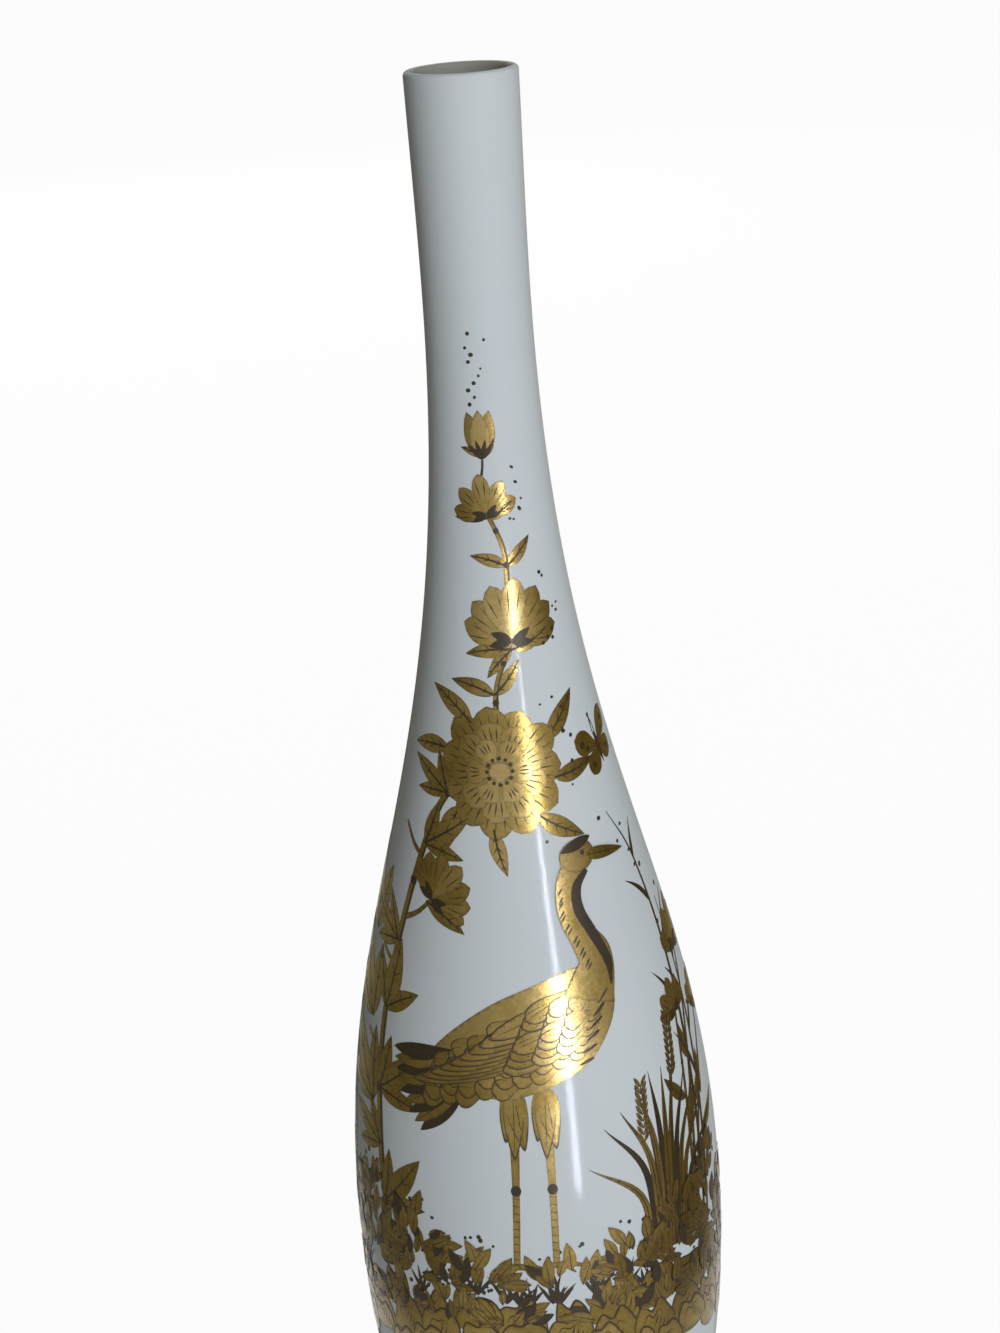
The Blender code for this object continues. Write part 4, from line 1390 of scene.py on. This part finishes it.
# Cards beside the vase: name, place across, height, dark and pale colour, where the pale begins, and socket
GLOW = "Emission Color"
CARDS = (("left_card", -0.145, 0.60, (0.05, 0.038, 0.022), (0.46, 0.43, 0.37), -0.34, "Base Color"),
         ("left_sheen", -0.145, 0.66, (0.34, 0.32, 0.22), (0.86, 0.86, 0.82), -0.34, GLOW),
         ("right_sheen", 0.145, 0.66, (0.30, 0.24, 0.11), (0.98, 0.96, 0.92), -0.14, GLOW))
# Where the dark of a card begins, and the cards' depth, step back and middle level
CARD_BACK, CARD_DEPTH, CARD_SHIFT, CARD_LEVEL = -0.02, 0.70, 0.02, 0.335
WHITE, BLACK = (1.0, 1.0, 1.0, 1.0), (0.0, 0.0, 0.0, 1.0)
# How white the backdrop is seen, and how far the floor is seen as backdrop
BACKDROP, FLOOR_SHARE = 0.975, 0.96


def around(degrees, distance, height):
    """A place round the vase: degrees to the right of the front."""
    turn = math.radians(degrees)
    return Vector((distance * math.sin(turn), -distance * math.cos(turn), height))


def add_lamp(name, size, power, colour, place, level, missed):
    """A rectangular lamp aimed at the vase's axis, which the camera and one kind of ray don't see."""
    lamp = bpy.data.lights.new(name, "AREA")
    lamp.shape = "RECTANGLE"
    lamp.size, lamp.size_y = size
    lamp.energy = power
    lamp.color = colour
    obj = into_scene(name, lamp)
    obj.location = around(*place)
    obj.rotation_euler = (Vector((0, 0, level)) - obj.location).to_track_quat("-Z", "Y").to_euler()
    obj.visible_camera = False
    setattr(obj, missed, False)


def backdrop_share(tree, place):
    """1 for rays that see the backdrop: straight, in a reflection or through something."""
    x, y = place
    rays = add_node(tree, "LightPath", place).outputs
    first = maths(tree, (x + 200, y), "ADD", rays["Is Camera Ray"], rays["Is Glossy Ray"])
    return maths(tree, (x + 400, y), "ADD", first, rays["Is Transmission Ray"], clamp=True)


def mix_shaders(tree, factor, first, second, end):
    """Mixes two shaders into the surface of an output node."""
    mixer = add_node(tree, "MixShader", (300, 0))
    for socket, value in zip(mixer.inputs, (factor, first.outputs[0], second.outputs[0])):
        tree.links.new(value, socket)
    dress(tree, end, Surface=mixer.outputs[0])


def floor_material():
    """Pale floor that reads near white, with a painted contact shadow: ambient occlusion darkens its white
    glow near the vase's foot, and its faint diffuse share takes the vase's real soft shadow.
    """
    made, tree, shader = new_material("pale_floor")
    dress(tree, shader, Base_Color=(0.80, 0.80, 0.79, 1.0), Roughness=0.9, Specular_IOR_Level=0.0)
    # Painted contact shadow: ambient occlusion dims the white glow near the foot
    corner = add_node(tree, "AmbientOcclusion", (-400, -300), Distance=0.03).outputs["AO"]
    level = maths(tree, (-200, -300), "MULTIPLY_ADD", corner, 0.4, 0.6)
    white = add_node(tree, "Emission", (0, -300), Strength=level)
    seen = maths(tree, (60, 260), "MULTIPLY", backdrop_share(tree, (-600, 300)), FLOOR_SHARE)
    mix_shaders(tree, seen, shader, white, tree.nodes["Material Output"])
    return made


def card_material(name, dark, pale, front, socket):
    """A card that is dark at the back and paler to the front, as plain colour or as a glow."""
    made, tree, shader = new_material(name)
    fade = mapped(tree, (-500, 0), object_place(tree, (-900, 0))["Y"], CARD_BACK, front)
    colour = mix_colours(tree, (-250, 0), fade, opaque(dark), opaque(pale))
    dress(tree, shader, Roughness=0.9)
    if socket == GLOW:
        dress(tree, shader, Base_Color=BLACK, Specular_IOR_Level=0.0, Emission_Strength=1.0)
    tree.links.new(colour, shader.inputs[socket])
    return made


def add_sheet(name, wide, tall, matrix, material):
    """A flat sheet of the stage."""
    bm = bmesh.new()
    bmesh.ops.create_grid(bm, x_segments=2, y_segments=2, size=0.5)
    bmesh.ops.scale(bm, verts=bm.verts, vec=(wide, tall, 1.0))
    bmesh.ops.transform(bm, matrix=matrix, verts=bm.verts)
    made = mesh_object(name, bm, material)
    return made


def add_card(name, across, tall, dark, pale, front, socket):
    """A card beside the vase: a plain one shades the porcelain, and a glowing one is only mirrored."""
    upright = Matrix.Translation((across, CARD_SHIFT, CARD_LEVEL)) @ Matrix.Rotation(math.pi / 2, 4, "Y")
    card = add_sheet(name, tall, CARD_DEPTH, upright, card_material(name, dark, pale, front, socket))
    card.visible_camera = False
    card.visible_glossy = socket == GLOW
    card.visible_diffuse = card.visible_shadow = socket != GLOW


def add_camera(stage, height):
    """The camera of the photograph's view."""
    camera = bpy.data.cameras.new("photograph_view")
    camera.lens = stage.lens
    camera.sensor_fit = "AUTO"
    camera.sensor_width = SENSOR
    eye = into_scene("photograph_view", camera)
    place = Matrix.Translation((stage.camera_shift, -stage.camera_distance, height + stage.camera_rise))
    pitch = Matrix.Rotation(math.pi / 2 - stage.camera_pitch, 4, "X")
    eye.matrix_world = place @ pitch @ Matrix.Rotation(-stage.camera_roll, 4, "Z")
    bpy.context.scene.camera = eye


def light_world(strength):
    """Dim even light, seen as white behind the floor's edge."""
    world = bpy.data.worlds.new("soft_room")
    bpy.context.scene.world = world
    world.use_nodes = True
    tree = world.node_tree
    tree.nodes.clear()
    dim = add_node(tree, "Background", (0, 100), Color=(1.0, 0.98, 0.93, 1.0), Strength=strength)
    white = add_node(tree, "Background", (0, -100), Color=WHITE, Strength=BACKDROP)
    end = add_node(tree, "OutputWorld", (500, 0))
    mix_shaders(tree, backdrop_share(tree, (-600, 300)), dim, white, end)


class VASE_OT_stage(VaseStep, bpy.types.Operator):
    """Set up the floor, the light and the camera"""

    bl_idname = "vase.stage"
    bl_label = "Stage"

    def build(self):
        stage = settings().stage
        bpy.context.scene.view_settings.view_transform = "Standard"
        add_camera(stage, settings().wall.height)
        add_sheet("floor", FLOOR_SIZE, FLOOR_SIZE, Matrix.Identity(4), floor_material())
        for name, size, power, *rest in LAMPS:
            add_lamp(name, size, getattr(stage, power), *rest)
        for card in CARDS:
            add_card(*card)
        light_world(stage.ambient)


class VASE_PT_panel(bpy.types.Panel):
    """Lists the steps of the vase"""

    bl_label = "Gilt Bottle Vase"
    bl_idname = "VASE_PT_panel"
    bl_space_type = "VIEW_3D"
    bl_region_type = "UI"
    bl_category = "Vase"

    def draw(self, context):
        for step in STEPS:
            self.layout.operator(step.bl_idname)


STEPS = (VASE_OT_stage, VASE_OT_glazed_wall, VASE_OT_foot_ring, VASE_OT_rock_bank, VASE_OT_crane,
         VASE_OT_flowering_stem, VASE_OT_blossoms, VASE_OT_leaves, VASE_OT_reeds, VASE_OT_shrubs,
         VASE_OT_butterflies, VASE_OT_back_spray)
CLASSES = (WallSettings, GlazeSettings, GildingSettings, StageSettings, VaseSettings, *STEPS, VASE_PT_panel)


def register():
    for entry in CLASSES:
        bpy.utils.register_class(entry)
    bpy.types.Scene.vase_settings = bpy.props.PointerProperty(type=VaseSettings)


def unregister():
    del bpy.types.Scene.vase_settings
    for entry in reversed(CLASSES):
        bpy.utils.unregister_class(entry)


def main():
    register()
    for step in STEPS:
        group, name = step.bl_idname.split(".")
        getattr(getattr(bpy.ops, group), name)()


if __name__ == "__main__":
    main()
